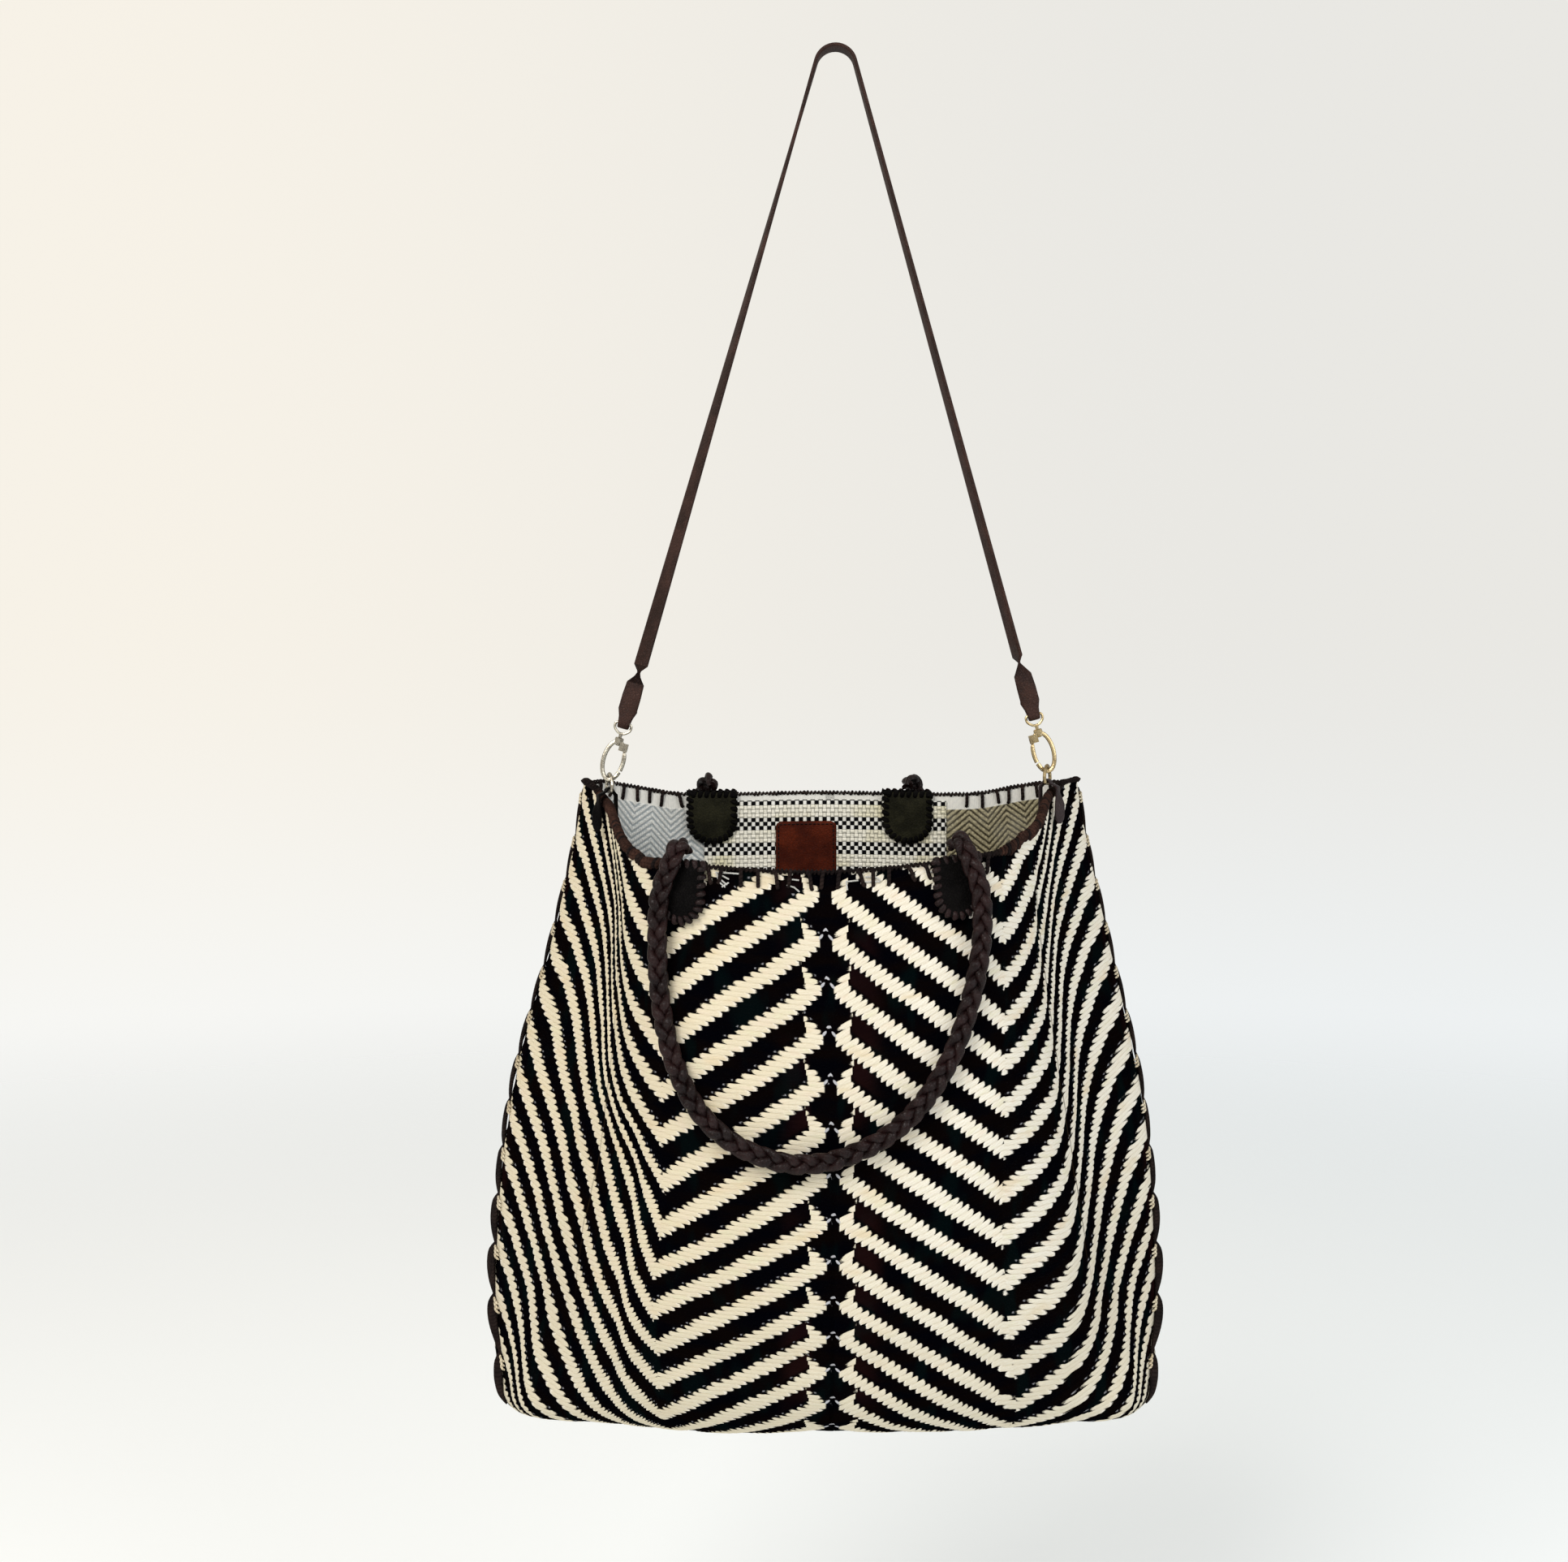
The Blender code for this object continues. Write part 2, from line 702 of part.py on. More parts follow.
def handle_ends(spacing, side):
    """Where a handle's left and right ends turn over the rim."""
    above = EDGING_RISE + FIT_GAP + BRAID_END_RADIUS
    middle = FRONT if side < 0 else REAR
    ends = []
    for x in (HANDLE_SHIFT[side] - spacing, HANDLE_SHIFT[side] + spacing):
        end = wall_point(middle - side * x / VALLEY_AT, -above, -WALL / 2)
        ends.append(Vector((x + BAG_SHIFT, end.y, end.z)))
    return ends


def handle_route(spacing, side):
    """Corners of a hanging handle's centre line, from one rim end to the other.

    side is -1 for the front handle and 1 for the rear one. Each row holds the
    distance from the handle's middle, the height over the axis and the share
    of the way from over the wall to hanging clear outside it.
    """
    spread, drop = HANDLE_HALF_WIDTH, HANDLE_DROP
    half = (
        (spacing, 0.0, 0.0),
        (spacing + 1.0, 3.0, 0.3),
        (spacing + 3.0, 4.4, 0.65),
        (spacing + 6.0, 1.6, 0.93),
        (spacing + 9.0, -6.0, 1.0),
        (spread - 1.0, -0.14 * drop, 1.0),
        (spread, -0.29 * drop, 1.0),
        (spread - 2.5, -0.47 * drop, 1.0),
        (spread - 11.0, -0.65 * drop, 1.0),
        (spread - 27.0, -0.81 * drop, 1.0),
        (spread - 49.0, -0.92 * drop, 1.0),
        (spread - 75.0, -0.985 * drop, 1.0),
    )
    route = list(half) + [(0.0, -drop, 1.0)] + [(-x, z, out) for x, z, out in reversed(half)]
    left, right = handle_ends(spacing, side)
    clear = RIDGE + FIT_GAP + BRAID_RADIUS + BRAID_RELIEF
    stand = OUTER_TONGUE + TONGUE_LEATHER + 2 * FIT_GAP + BRAID_RADIUS + BRAID_RELIEF
    middle = FRONT if side < 0 else REAR
    corners = []
    for x, z, out in route:
        axis = left.lerp(right, min(max(0.5 + x / spacing / 2, 0.0), 1.0))
        height = axis.z + z
        along_rim = x + HANDLE_SHIFT[side]
        wall = outline_point(middle - side * along_rim / VALLEY_AT, height)[0].y
        below = max(0.0, -z - TONGUE_LENGTH - 2 * BRAID_RADIUS)
        reach = clear + (stand - clear) * max(0.0, 1 - below / 30.0)
        outside = wall + side * reach
        corners.append(Vector((along_rim + BAG_SHIFT, axis.y + (outside - axis.y) * out, height)))
    return corners


def make_handle(name, spacing, side, look):
    """A braided handle with rounded ends that turn over the rim."""
    fine = smooth_path(handle_route(spacing, side), 12)
    travelled = [0.0]
    for before, after in zip(fine, fine[1:]):
        travelled.append(travelled[-1] + (after - before).length)
    count = round(travelled[-1] / BRAID_PITCH * BRAID_STEPS)
    lengths = [travelled[-1] * index / count for index in range(count + 1)]
    path = []
    for length in lengths:
        place = min(bisect.bisect_right(travelled, length), len(fine) - 1) - 1
        share = (length - travelled[place]) / (travelled[place + 1] - travelled[place])
        path.append(fine[place].lerp(fine[place + 1], share))
    total = lengths[-1]
    start_along = (path[1] - path[0]).normalized()
    end_along = (path[-1] - path[-2]).normalized()
    cap = (0.92, 0.55)
    starts = [path[0] - start_along * BRAID_END_RADIUS * share for share in cap]
    ends = [path[-1] + end_along * BRAID_END_RADIUS * share for share in reversed(cap)]
    full_path = starts + path + ends
    first, last = len(starts), len(starts) + len(path) - 1

    def radius(index, angle):
        if index < first or index > last:
            beyond = cap[index] if index < first else cap[len(full_path) - 1 - index]
            return BRAID_END_RADIUS * math.sqrt(1 - beyond ** 2)
        place = lengths[index - first]
        full = min(1.0, min(place, total - place) / 14.0)
        base = BRAID_END_RADIUS + (BRAID_RADIUS - BRAID_END_RADIUS) * full
        turn = 2 * math.pi * (index - first) / BRAID_STEPS
        return base + BRAID_RELIEF * full * math.sin(turn) * math.sin(angle)

    made = tube(name, full_path, radius, look, sides=8)
    left, right = handle_ends(spacing, side)
    pivot = (left + right) / 2 * MM
    made.data.transform(Matrix.Translation(-pivot))
    made.location = pivot
    return made


def side_frame(side):
    """Origin and directions of one clip: down the strand, and inwards."""
    origin = Vector((FOLD_X[side], 0.0, FOLD_Z[side]))
    down = Vector((side * SIN_STRAND[side], 0.0, -COS_STRAND[side]))
    inward = Vector((-side * COS_STRAND[side], 0.0, -SIN_STRAND[side]))
    return origin, down, inward


def clip_point(side, inward, down, forward=0.0):
    origin, down_axis, inward_axis = side_frame(side)
    return origin + inward_axis * inward + down_axis * down + Vector((0.0, forward, 0.0))


def strap_frames():
    """Centre points, width directions and widths along the strap."""
    frames = []
    below = FOLD_LENGTH + 25.0

    def add_end(side, twist):
        part = []
        steps = 9
        for step in range(steps + 1):
            share = step / steps
            down = -STRAND_LENGTH[side] + (STRAND_LENGTH[side] - below) * share
            point = clip_point(side, 0.0, down)
            angle = math.radians(84) * share * twist
            part.append((point, angle, STRAP_WIDTH))
        layer = STRAP_THICKNESS / 2 + FIT_GAP / 2
        plan = [
            (-FOLD_LENGTH - 12.0, -0.5 * layer, twist + (1 - twist) * 0.6, STRAP_WIDTH),
            (-FOLD_LENGTH - 3.0, -layer, 1.0, FOLD_BULGE_WIDTH),
            (-FOLD_LENGTH * 0.65, -layer, 1.0, FOLD_BULGE_WIDTH),
            (-FOLD_LENGTH * 0.4, -layer * 1.15, 1.0, FOLD_TIP_WIDTH + 1.5),
        ]
        for down, forward, turned, width in plan:
            part.append((clip_point(side, 0.0, down, forward), math.radians(84) * turned, width))
        for step in range(7):
            angle = math.pi * step / 6
            down = BAR_DISTANCE + BAR_RADIUS * math.sin(angle)
            forward = -BAR_RADIUS * math.cos(angle)
            part.append((clip_point(side, 0.0, down, forward), math.radians(84), FOLD_TIP_WIDTH))
        for down, forward, turned, width in reversed(plan[2:]):
            part.append((clip_point(side, 0.0, down, -forward), math.radians(84), width))
        part.append((clip_point(side, 0.0, -FOLD_LENGTH, layer), math.radians(84), FOLD_TIP_WIDTH + 2.0))
        return part

    left = [(point, -angle, width) for point, angle, width in add_end(-1, LEFT_TWIST)]
    right = add_end(1, RIGHT_TWIST)
    frames += reversed(left)
    steps = 8
    for step in range(1, steps):
        sweep = math.pi - STRAND_ANGLE[-1] - STRAND_ANGLE[1]
        angle = math.pi - STRAND_ANGLE[-1] - sweep * step / steps
        x = STRAP_MID_RADIUS * math.cos(angle)
        z = STRAP_MID_RADIUS * math.sin(angle) - STRAP_BEND_RADIUS
        frames.append((Vector((x, 0.0, z)), 0.0, STRAP_WIDTH))
    frames += right
    return frames


def make_strap(look):
    frames = strap_frames()
    rings = []
    for index, (point, twist, width) in enumerate(frames):
        before = frames[max(index - 1, 0)][0]
        after = frames[min(index + 1, len(frames) - 1)][0]
        along = (after - before).normalized()
        level = Vector((0.0, 1.0, 0.0))
        if abs(along.y) > 0.05 or abs(twist) > 1.4:
            hand = 1 if point.x > 0 else -1
            across = Vector((COS_STRAND[hand], 0.0, hand * SIN_STRAND[hand]))
        else:
            across = Matrix.Rotation(-twist, 3, along) @ level
        across = (across - along * across.dot(along)).normalized()
        up = along.cross(across)
        half_width, half_thick = width / 2, STRAP_THICKNESS / 2
        corner = half_thick * 0.5
        ring = []
        for a, b in (
            (half_width - corner, -half_thick), (half_width, 0.0), (half_width - corner, half_thick),
            (corner - half_width, half_thick), (-half_width, 0.0), (corner - half_width, -half_thick),
        ):
            ring.append(point + across * a + up * b)
        rings.append(ring)
    points, faces = loft(rings)
    return mesh_object("shoulder_strap", points, faces, look)


def make_swivel_eye(name, side, look):
    """The loop that the strap folds round, with the post the clip turns on."""
    top = BAR_DISTANCE
    half = EYE_HALF_WIDTH
    flat = FOLD_TIP_WIDTH / 2 + FIT_GAP
    plan = (
        (-flat, top), (0.0, top), (flat, top), (half, top + 1.5), (half - 0.5, top + EYE_DEPTH * 0.6),
        (2.2, top + EYE_DEPTH - 0.5), (0.0, top + EYE_DEPTH - 0.1), (-2.2, top + EYE_DEPTH - 0.5),
        (0.5 - half, top + EYE_DEPTH * 0.6), (-half, top + 1.5),
    )
    path = smooth_path([clip_point(side, a, b) for a, b in plan], 3, closed=True)
    eye = tube(name, path, EYE_WIRE, look, sides=8, closed=True)
    head_top = COLLAR_TOP + COLLAR_LENGTH + FIT_GAP
    stem_start = top + EYE_DEPTH
    profile = (
        (stem_start, STEM_RADIUS), (head_top, STEM_RADIUS), (head_top, STEM_HEAD_RADIUS),
        (head_top + STEM_HEAD_LENGTH * 0.6, STEM_HEAD_RADIUS), (head_top + STEM_HEAD_LENGTH, STEM_RADIUS),
    )
    stem = turned(name + "_stem_part", side, 0.0, profile, look)
    combine(eye, stem, "UNION")
    return eye


def turned(name, side, inward, profile, look, sides=ROUND_SIDES):
    """A turned piece along the strand's direction."""
    origin, down_axis, inward_axis = side_frame(side)
    forward = Vector((0.0, 1.0, 0.0))
    rings = []
    for down, radius in profile:
        centre = clip_point(side, inward, down)
        ring = []
        for step in range(sides):
            angle = 2 * math.pi * step / sides
            ring.append(centre + (inward_axis * math.cos(angle) + forward * math.sin(angle)) * radius)
        rings.append(ring)
    points, faces = loft(rings)
    return mesh_object(name, points, faces, look, smooth=True)


def oval_point(side, angle):
    """A point on the clip's oval; angle 0 is its foot, growing inwards."""
    return clip_point(
        side,
        CLIP_HALF_WIDTH * math.sin(angle),
        CLIP_CENTRE + CLIP_HALF_HEIGHT * math.cos(angle),
    )


def block(name, side, inward, down, size, depth, look):
    """A box square to the clip, centred at a point of it."""
    half = size / 2
    points = []
    for forward in (-depth / 2, depth / 2):
        for a, b in ((-half, -half), (half, -half), (half, half), (-half, half)):
            points.append(clip_point(side, inward + a, down + b, forward))
    faces = [(0, 1, 2, 3), (7, 6, 5, 4)]
    faces += [(i, (i + 1) % 4, 4 + (i + 1) % 4, 4 + i) for i in range(4)]
    return mesh_object(name, points, faces, look)


def cross_rod(name, side, inward, down, radius, length, look, sides=ROUND_SIDES):
    """A rod through the clip, front to back."""
    start = clip_point(side, inward, down, -length / 2)
    end = clip_point(side, inward, down, length / 2)
    return rod(name, start, end, radius, look, sides)


PIVOT_INWARD = CLIP_HALF_WIDTH * math.sin(PIVOT_ANGLE)
PIVOT_DOWN = CLIP_CENTRE + CLIP_HALF_HEIGHT * math.cos(PIVOT_ANGLE)


def set_pivot(made, side, inward, down):
    """Move an object's own origin onto its joint's axis."""
    pivot = clip_point(side, inward, down) * MM
    made.data.transform(Matrix.Translation(-pivot))
    made.location = pivot


def make_clip(label, side, look):
    """The oval snap clip: its body, gate and pin."""
    steps = 22
    start, end = NOSE_ANGLE, PIVOT_ANGLE - 2 * math.pi
    path = [oval_point(side, start + (end - start) * step / steps) for step in range(steps + 1)]
    body = tube("clip_body_" + label, path, CLIP_WIRE, look, sides=8)
    set_pivot(body, side, 0.0, COLLAR_TOP)
    collar = turned(
        "collar_part_" + label, side, 0.0,
        (
            (COLLAR_TOP, COLLAR_RADIUS - 0.6), (COLLAR_TOP + 0.6, COLLAR_RADIUS),
            (COLLAR_TOP + COLLAR_LENGTH, COLLAR_RADIUS),
        ), look,
    )
    combine(body, collar, "UNION")
    back = KNUCKLE_SIZE / 2 - EYELET_RADIUS
    knuckle = block(
        "knuckle_part_" + label, side, PIVOT_INWARD - back + 0.6, PIVOT_DOWN - back + 0.2,
        KNUCKLE_SIZE, KNUCKLE_DEPTH, look,
    )
    combine(body, knuckle, "UNION")
    ahead = SLOT_SIZE / 2 - EYELET_RADIUS - FIT_GAP
    slot = block(
        "slot_part_" + label, side, PIVOT_INWARD + ahead, PIVOT_DOWN + ahead, SLOT_SIZE, SLOT_DEPTH, look,
    )
    combine(body, slot, "DIFFERENCE")
    hole_radius = PIN_RADIUS + PIN_CLEARANCE
    hole = cross_rod("hole_part_" + label, side, PIVOT_INWARD, PIVOT_DOWN, hole_radius, 9.0, look)
    combine(body, hole, "DIFFERENCE")
    collar_end = COLLAR_TOP + COLLAR_LENGTH
    seat_end = collar_end + STEM_HEAD_LENGTH + 2 * FIT_GAP
    bore = turned(
        "bore_part_" + label, side, 0.0,
        (
            (COLLAR_TOP - 2.0, STEM_RADIUS + FIT_GAP), (collar_end, STEM_RADIUS + FIT_GAP),
            (collar_end, STEM_HEAD_RADIUS + FIT_GAP), (seat_end, STEM_HEAD_RADIUS + FIT_GAP),
        ), look,
    )
    combine(body, bore, "DIFFERENCE")

    gate_top = PIVOT_ANGLE - math.radians(4)
    gate_end = NOSE_ANGLE + math.radians(5)
    gate_steps = 8
    gate_path = []
    for step in range(gate_steps + 1):
        gate_path.append(oval_point(side, gate_top + (gate_end - gate_top) * step / gate_steps))

    def gate_radius(index, angle):
        return min(CLIP_WIRE, 0.7 + 0.35 * index)

    gate = tube("gate_" + label, gate_path, gate_radius, look, sides=8)
    set_pivot(gate, side, PIVOT_INWARD, PIVOT_DOWN)
    eyelet = cross_rod(
        "eyelet_part_" + label, side, PIVOT_INWARD, PIVOT_DOWN, EYELET_RADIUS, EYELET_DEPTH, look,
    )
    combine(gate, eyelet, "UNION")
    gate_hole = cross_rod("gate_hole_part_" + label, side, PIVOT_INWARD, PIVOT_DOWN, hole_radius, 9.0, look)
    combine(gate, gate_hole, "DIFFERENCE")
    pin = cross_rod("gate_pin_" + label, side, PIVOT_INWARD, PIVOT_DOWN, PIN_RADIUS, PIN_LENGTH, look)
    set_pivot(pin, side, 0.0, COLLAR_TOP)


def ring_place(side):
    """Wall point under a ring, its outward and level directions, its rim height."""
    column = RIGHT_SIDE - 1 if side > 0 else LEFT_SIDE + 1
    rim = RIM_HEIGHTS[column]
    point, outward = outline_point(column, rim)
    return column, point, outward, Vector((-outward.y, outward.x, 0.0)), rim


def make_ring(label, side, look):
    """The wire ring that the clip hooks, upright over the tab."""
    _, _, _, along, _ = ring_place(side)
    foot = Vector((RING_X[side], 0.0, RING_FOOT_Z[side]))
    outline = list(RING_HALF) + [(-a, b) for a, b in reversed(RING_HALF[:-1])]
    path = [foot + along * a + Vector((0.0, 0.0, b)) for a, b in outline]
    ring = tube("ring_" + label, path, RING_WIRE, look, sides=8, closed=True)
    ring.data.transform(Matrix.Translation(-foot * MM))
    ring.location = foot * MM
    return ring


def make_tab(label, side, look):
    """Leather strip over the rim, folded round the foot of the ring."""
    column, point, outward, along, rim = ring_place(side)
    top = RING_FOOT_Z[side] - rim
    foot = Vector((RING_X[side] - point.x, -point.y, 0.0)).dot(outward)
    half = TAB_LEATHER / 2
    loop_radius = RING_WIRE + FIT_GAP + half
    outer_at = OUTER_TONGUE + TAB_STAND + half
    inner_at = INNER_TONGUE - half
    path = [(outer_at, -TAB_OUTER_LENGTH * (1 - step / 5)) for step in range(6)]
    path.append((outer_at, top * 0.6))
    for step in range(7):
        angle = math.pi * step / 6
        path.append((foot + loop_radius * math.cos(angle), top + loop_radius * math.sin(angle)))
    path.append((inner_at, top * 0.6))
    path += [(inner_at, -TAB_INNER_LENGTH * step / 3) for step in range(4)]
    rings = []
    for index, (reach, up) in enumerate(path):
        before = path[max(index - 1, 0)]
        after = path[min(index + 1, len(path) - 1)]
        run = Vector((after[0] - before[0], after[1] - before[1])).normalized()
        normal = Vector((-run.y, run.x))
        lean = 0.0
        if up < 0:
            wall, _ = outline_point(column, rim + up)
            lean = (wall - point).dot(outward)
        narrow = (0.45, 0.9)[index] if index < 2 else 1.0
        ring = []
        for a, b in ((-1, -1), (1, -1), (1, 1), (-1, 1)):
            place = point + outward * (reach + lean + normal.x * half * b)
            place += along * (a * TAB_WIDTH / 2 * narrow)
            place.z = rim + up + normal.y * half * b
            ring.append(place)
        rings.append(ring)
    points, faces = loft(rings)
    return mesh_object("ring_tab_" + label, points, faces, look)


def make_all():
    for old in list(bpy.data.objects):
        bpy.data.objects.remove(old)
    wool = material("woven_wool", (0.62, 0.54, 0.38), 0.95)
    lining = material("lining_cloth", (0.55, 0.58, 0.50), 0.95)
    pocket = material("pocket_cloth", (0.75, 0.72, 0.62), 0.95)
    yarn = material("dark_yarn", (0.02, 0.015, 0.015), 0.9)
    leather = material("brown_leather", (0.06, 0.035, 0.03), 0.5)
    label_leather = material("label_leather", (0.22, 0.05, 0.025), 0.45)
    metal = material("aged_brass", (0.55, 0.47, 0.30), 0.3, 1.0)

    make_woven_shell(wool)
    make_lining(lining)
    panel(
        "inner_pocket", REAR, POCKET_HALF_WIDTH / VALLEY_AT, EDGING_SKIRT + FIT_GAP, POCKET_LENGTH,
        POCKET_FACE, -POCKET, pocket,
    )
    panel(
        "label_patch", REAR - LABEL_CENTRE / VALLEY_AT, LABEL_WIDTH / 2 / VALLEY_AT, LABEL_DROP,
        LABEL_DROP + LABEL_HEIGHT, LABEL_FACE, -LABEL, label_leather, steps=3,
    )
    make_rim_edging(yarn)
    make_side_seam("side_seam_right", RIGHT_SIDE, yarn)
    make_side_seam("side_seam_left", LEFT_SIDE, yarn)

    front, rear = HANDLE_SHIFT[-1], HANDLE_SHIFT[1]
    ends = (
        ("front_right", FRONT, FRONT_HANDLE_AT + front, FRONT_TONGUE_HALF_WIDTH),
        ("front_left", FRONT, front - FRONT_HANDLE_AT, FRONT_TONGUE_HALF_WIDTH),
        ("rear_right", REAR, -REAR_HANDLE_AT - rear, REAR_TONGUE_HALF_WIDTH),
        ("rear_left", REAR, REAR_HANDLE_AT - rear, REAR_TONGUE_HALF_WIDTH),
    )
    for label, centre, across, tongue_half in ends:
        middle = (centre + across / VALLEY_AT) % COLUMNS
        half_width = tongue_half / VALLEY_AT
        panel(
            "tongue_outer_" + label, middle, half_width, -OUTER_TONGUE_RISE, TONGUE_LENGTH,
            OUTER_TONGUE, TONGUE_LEATHER, leather, rounded=0.42, steps=9, rows=2,
        )
        panel(
            "tongue_inner_" + label, middle, half_width, -INNER_TONGUE_RISE, TONGUE_LENGTH,
            INNER_TONGUE, -TONGUE_LEATHER, leather, rounded=0.42, steps=9, rows=2,
        )
    make_handle("front_handle", FRONT_HANDLE_AT, -1, leather)
    make_handle("rear_handle", REAR_HANDLE_AT, 1, leather)
    make_strap(leather)
    for label, side in (("right", 1), ("left", -1)):
        make_swivel_eye("swivel_eye_" + label, side, metal)
        make_clip(label, side, metal)
        make_ring(label, side, metal)
        make_tab(label, side, leather)


make_all()
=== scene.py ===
"""Looks of the woven tote bag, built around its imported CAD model.

Sizes are in millimetres and are turned into metres when a mesh is made.
"""

import bisect
import math

import bpy
import numpy as np
from mathutils import Matrix, Vector


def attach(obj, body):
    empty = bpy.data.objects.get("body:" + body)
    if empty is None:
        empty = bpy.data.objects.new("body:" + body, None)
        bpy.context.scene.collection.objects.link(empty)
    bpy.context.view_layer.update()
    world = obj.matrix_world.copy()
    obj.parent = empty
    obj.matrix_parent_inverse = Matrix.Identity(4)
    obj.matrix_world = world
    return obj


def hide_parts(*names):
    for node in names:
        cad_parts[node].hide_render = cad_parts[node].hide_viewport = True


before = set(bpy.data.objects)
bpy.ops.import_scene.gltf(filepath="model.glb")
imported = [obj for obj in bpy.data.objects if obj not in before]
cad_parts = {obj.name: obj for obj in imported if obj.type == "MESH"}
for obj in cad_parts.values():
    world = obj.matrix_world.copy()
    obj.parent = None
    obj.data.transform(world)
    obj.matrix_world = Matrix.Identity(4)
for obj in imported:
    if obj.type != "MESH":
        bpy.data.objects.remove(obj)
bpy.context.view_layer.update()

MM = 0.001

# Shoulder strap
STRAP_WIDTH = 12.0
STRAP_THICKNESS = 2.6
STRAP_BEND_RADIUS = 12.5
STRAND_LENGTH = {-1: 472.5, 1: 464.2}
STRAND_ANGLE = {-1: math.radians(16.18), 1: math.radians(15.29)}
FOLD_LENGTH = 20.0
FOLD_BULGE_WIDTH = 13.0
FOLD_TIP_WIDTH = 8.0
LEFT_TWIST = 0.62
RIGHT_TWIST = 0.25
FOLD_TURN = math.radians(84)
FIT_GAP = 0.3
EYE_WIRE = 0.9
CLIP_WIRE = 1.5
CLIP_HALF_HEIGHT = 13.4
CLIP_TOP = 9.0

# Rings and tabs
RING_WIRE = 1.2
RING_STAND = 6.5
RING_SLACK = 1.2
RING_HEIGHT = 12.0
TAB_WIDTH = 9.0
TAB_LEATHER = 1.6
TAB_SHOWN_LENGTH = 21.0
TAB_STAND = 0.8
TAB_INNER_LENGTH = 16.0
TAB_TURN = 0.55

# Woven wall
BAG_SHIFT = -5.0
BASE_Z = -922.5
WALL = 3.0
RIDGE = 1.0
BASE_THICKENING = 0.8
PLEAT_DEPTH = 6.0
PLEAT_AT = 2.5
PLEAT_HALF_WIDTH = 0.5
PLEAT_START = 60.0
PLEAT_END = 330.0
LEVEL_Z = np.array((-500.0, -600.0, -720.0, -840.0, -895.0))
FRONT_Y = (-79.0, -100.0, -115.0, -102.0, -86.0)
VALLEY_X = (105.0, 105.0, 105.0, 106.0, 107.0)
VALLEY_Y = (-77.0, -98.0, -113.0, -99.0, -82.0)
RIGHT_CORNER_X = (119.0, 129.0, 139.0, 148.0, 152.0)
LEFT_CORNER_X = (119.0, 128.0, 128.0, 138.0, 147.0)
CORNER_Y = (-73.0, -68.0, -80.0, -80.0, -62.0)
RIGHT_GUSSET_X = (151.1, 155.0, 173.0, 190.0, 199.0)
LEFT_GUSSET_X = (151.1, 153.0, 172.0, 190.0, 199.0)
GUSSET_Y = (-0.6, 4.0, -3.0, -20.0, -38.0)
RIGHT_SIDE_X = (176.0, 197.0, 223.0, 229.0, 216.0)
LEFT_SIDE_X = (168.0, 190.0, 222.0, 232.0, 220.0)
SIDE_Y = (73.0, 75.0, 66.0, 26.0, -18.0)
REAR_CORNER_X = (150.0, 170.0, 194.0, 200.0, 190.0)
REAR_Y = 85.0
BASE_RADII = (60.0, 60.0, 40.0, 20.0, 20.0, 30.0, 30.0, 30.0, 30.0, 30.0, 20.0, 20.0, 40.0, 60.0)
CORNER_RISE = 3.4
CORNER_RISE_AT = 3.55
CORNER_RISE_REACH = 0.45
CORNER_RISE_EASE = 0.25
CORNER_RISE_DROP = 40.0
COLUMNS = 14
FRONT, RIGHT_SIDE, REAR, LEFT_SIDE = 0, 4, 7, 10

# Zigzag of the weave
PERIOD = 28.5
STRIPE_SLOPE = 0.76
VALLEY_AT = 106.0
SIDE_AT = 332.0
REAR_AT = 2 * SIDE_AT
AROUND = 2 * REAR_AT
REAR_STEP = SIDE_AT / 3
CLOTH_AT = (0.0, VALLEY_AT, 154.0, 240.0, SIDE_AT, SIDE_AT + REAR_STEP, REAR_AT - REAR_STEP, REAR_AT)
REAR_SCALE = REAR_STEP / VALLEY_AT
# Where the stripes cross the seams, the valleys and the centre: distances down
# the cloth, and the number of stripes passed there
LEFT_SEAM_STRIPES = ((88.0, 143.0, 205.0, 263.0, 294.0), (5.7, 7.7, 9.7, 11.7, 12.7))
LEFT_VALLEY_STRIPES = ((119.6, 174.3, 233.0, 286.3, 333.0), (0.59, 2.59, 4.59, 6.59, 8.59))
CENTRE_STRIPES = ((38.4, 97.3, 155.9, 211.9, 265.0, 331.8), (0.4, 2.4, 4.4, 6.4, 8.4, 11.4))
RIGHT_VALLEY_STRIPES = (
    (31.8, 85.4, 136.0, 188.5, 243.9, 306.1, 360.8),
    (-3.41, -1.41, 0.59, 2.59, 4.59, 6.59, 8.59),
)
RIGHT_SEAM_STRIPES = ((65.0, 121.0, 184.0, 245.0, 305.0), (2.4, 4.4, 6.4, 8.4, 10.4))
# How far the stripes have climbed between a valley and its seam
LEFT_CLIMB_HIGH = (
    (106.0, 139.0, 175.0, 201.0, 221.0, 238.0, 259.0, 280.0, 322.0),
    (0.0, 0.09, 0.17, 0.24, 0.49, 0.6, 0.73, 0.86, 1.0),
)
LEFT_CLIMB_LOW = (
    (106.0, 130.0, 145.0, 173.0, 198.0, 228.0, 252.0, 271.0, 292.0, 322.0),
    (0.0, 0.14, 0.27, 0.38, 0.45, 0.52, 0.63, 0.76, 0.89, 1.0),
)
RIGHT_CLIMB_HIGH = (
    (106.0, 125.0, 150.0, 205.0, 225.0, 245.0, 262.0, 283.0, 305.0, 332.0),
    (0.0, 0.05, 0.12, 0.18, 0.31, 0.53, 0.7, 0.88, 0.98, 1.0),
)
RIGHT_CLIMB_LOW = (
    (106.0, 123.0, 170.0, 202.0, 232.0, 257.0, 280.0, 308.0, 332.0),
    (0.0, 0.07, 0.16, 0.26, 0.39, 0.57, 0.78, 0.97, 1.0),
)
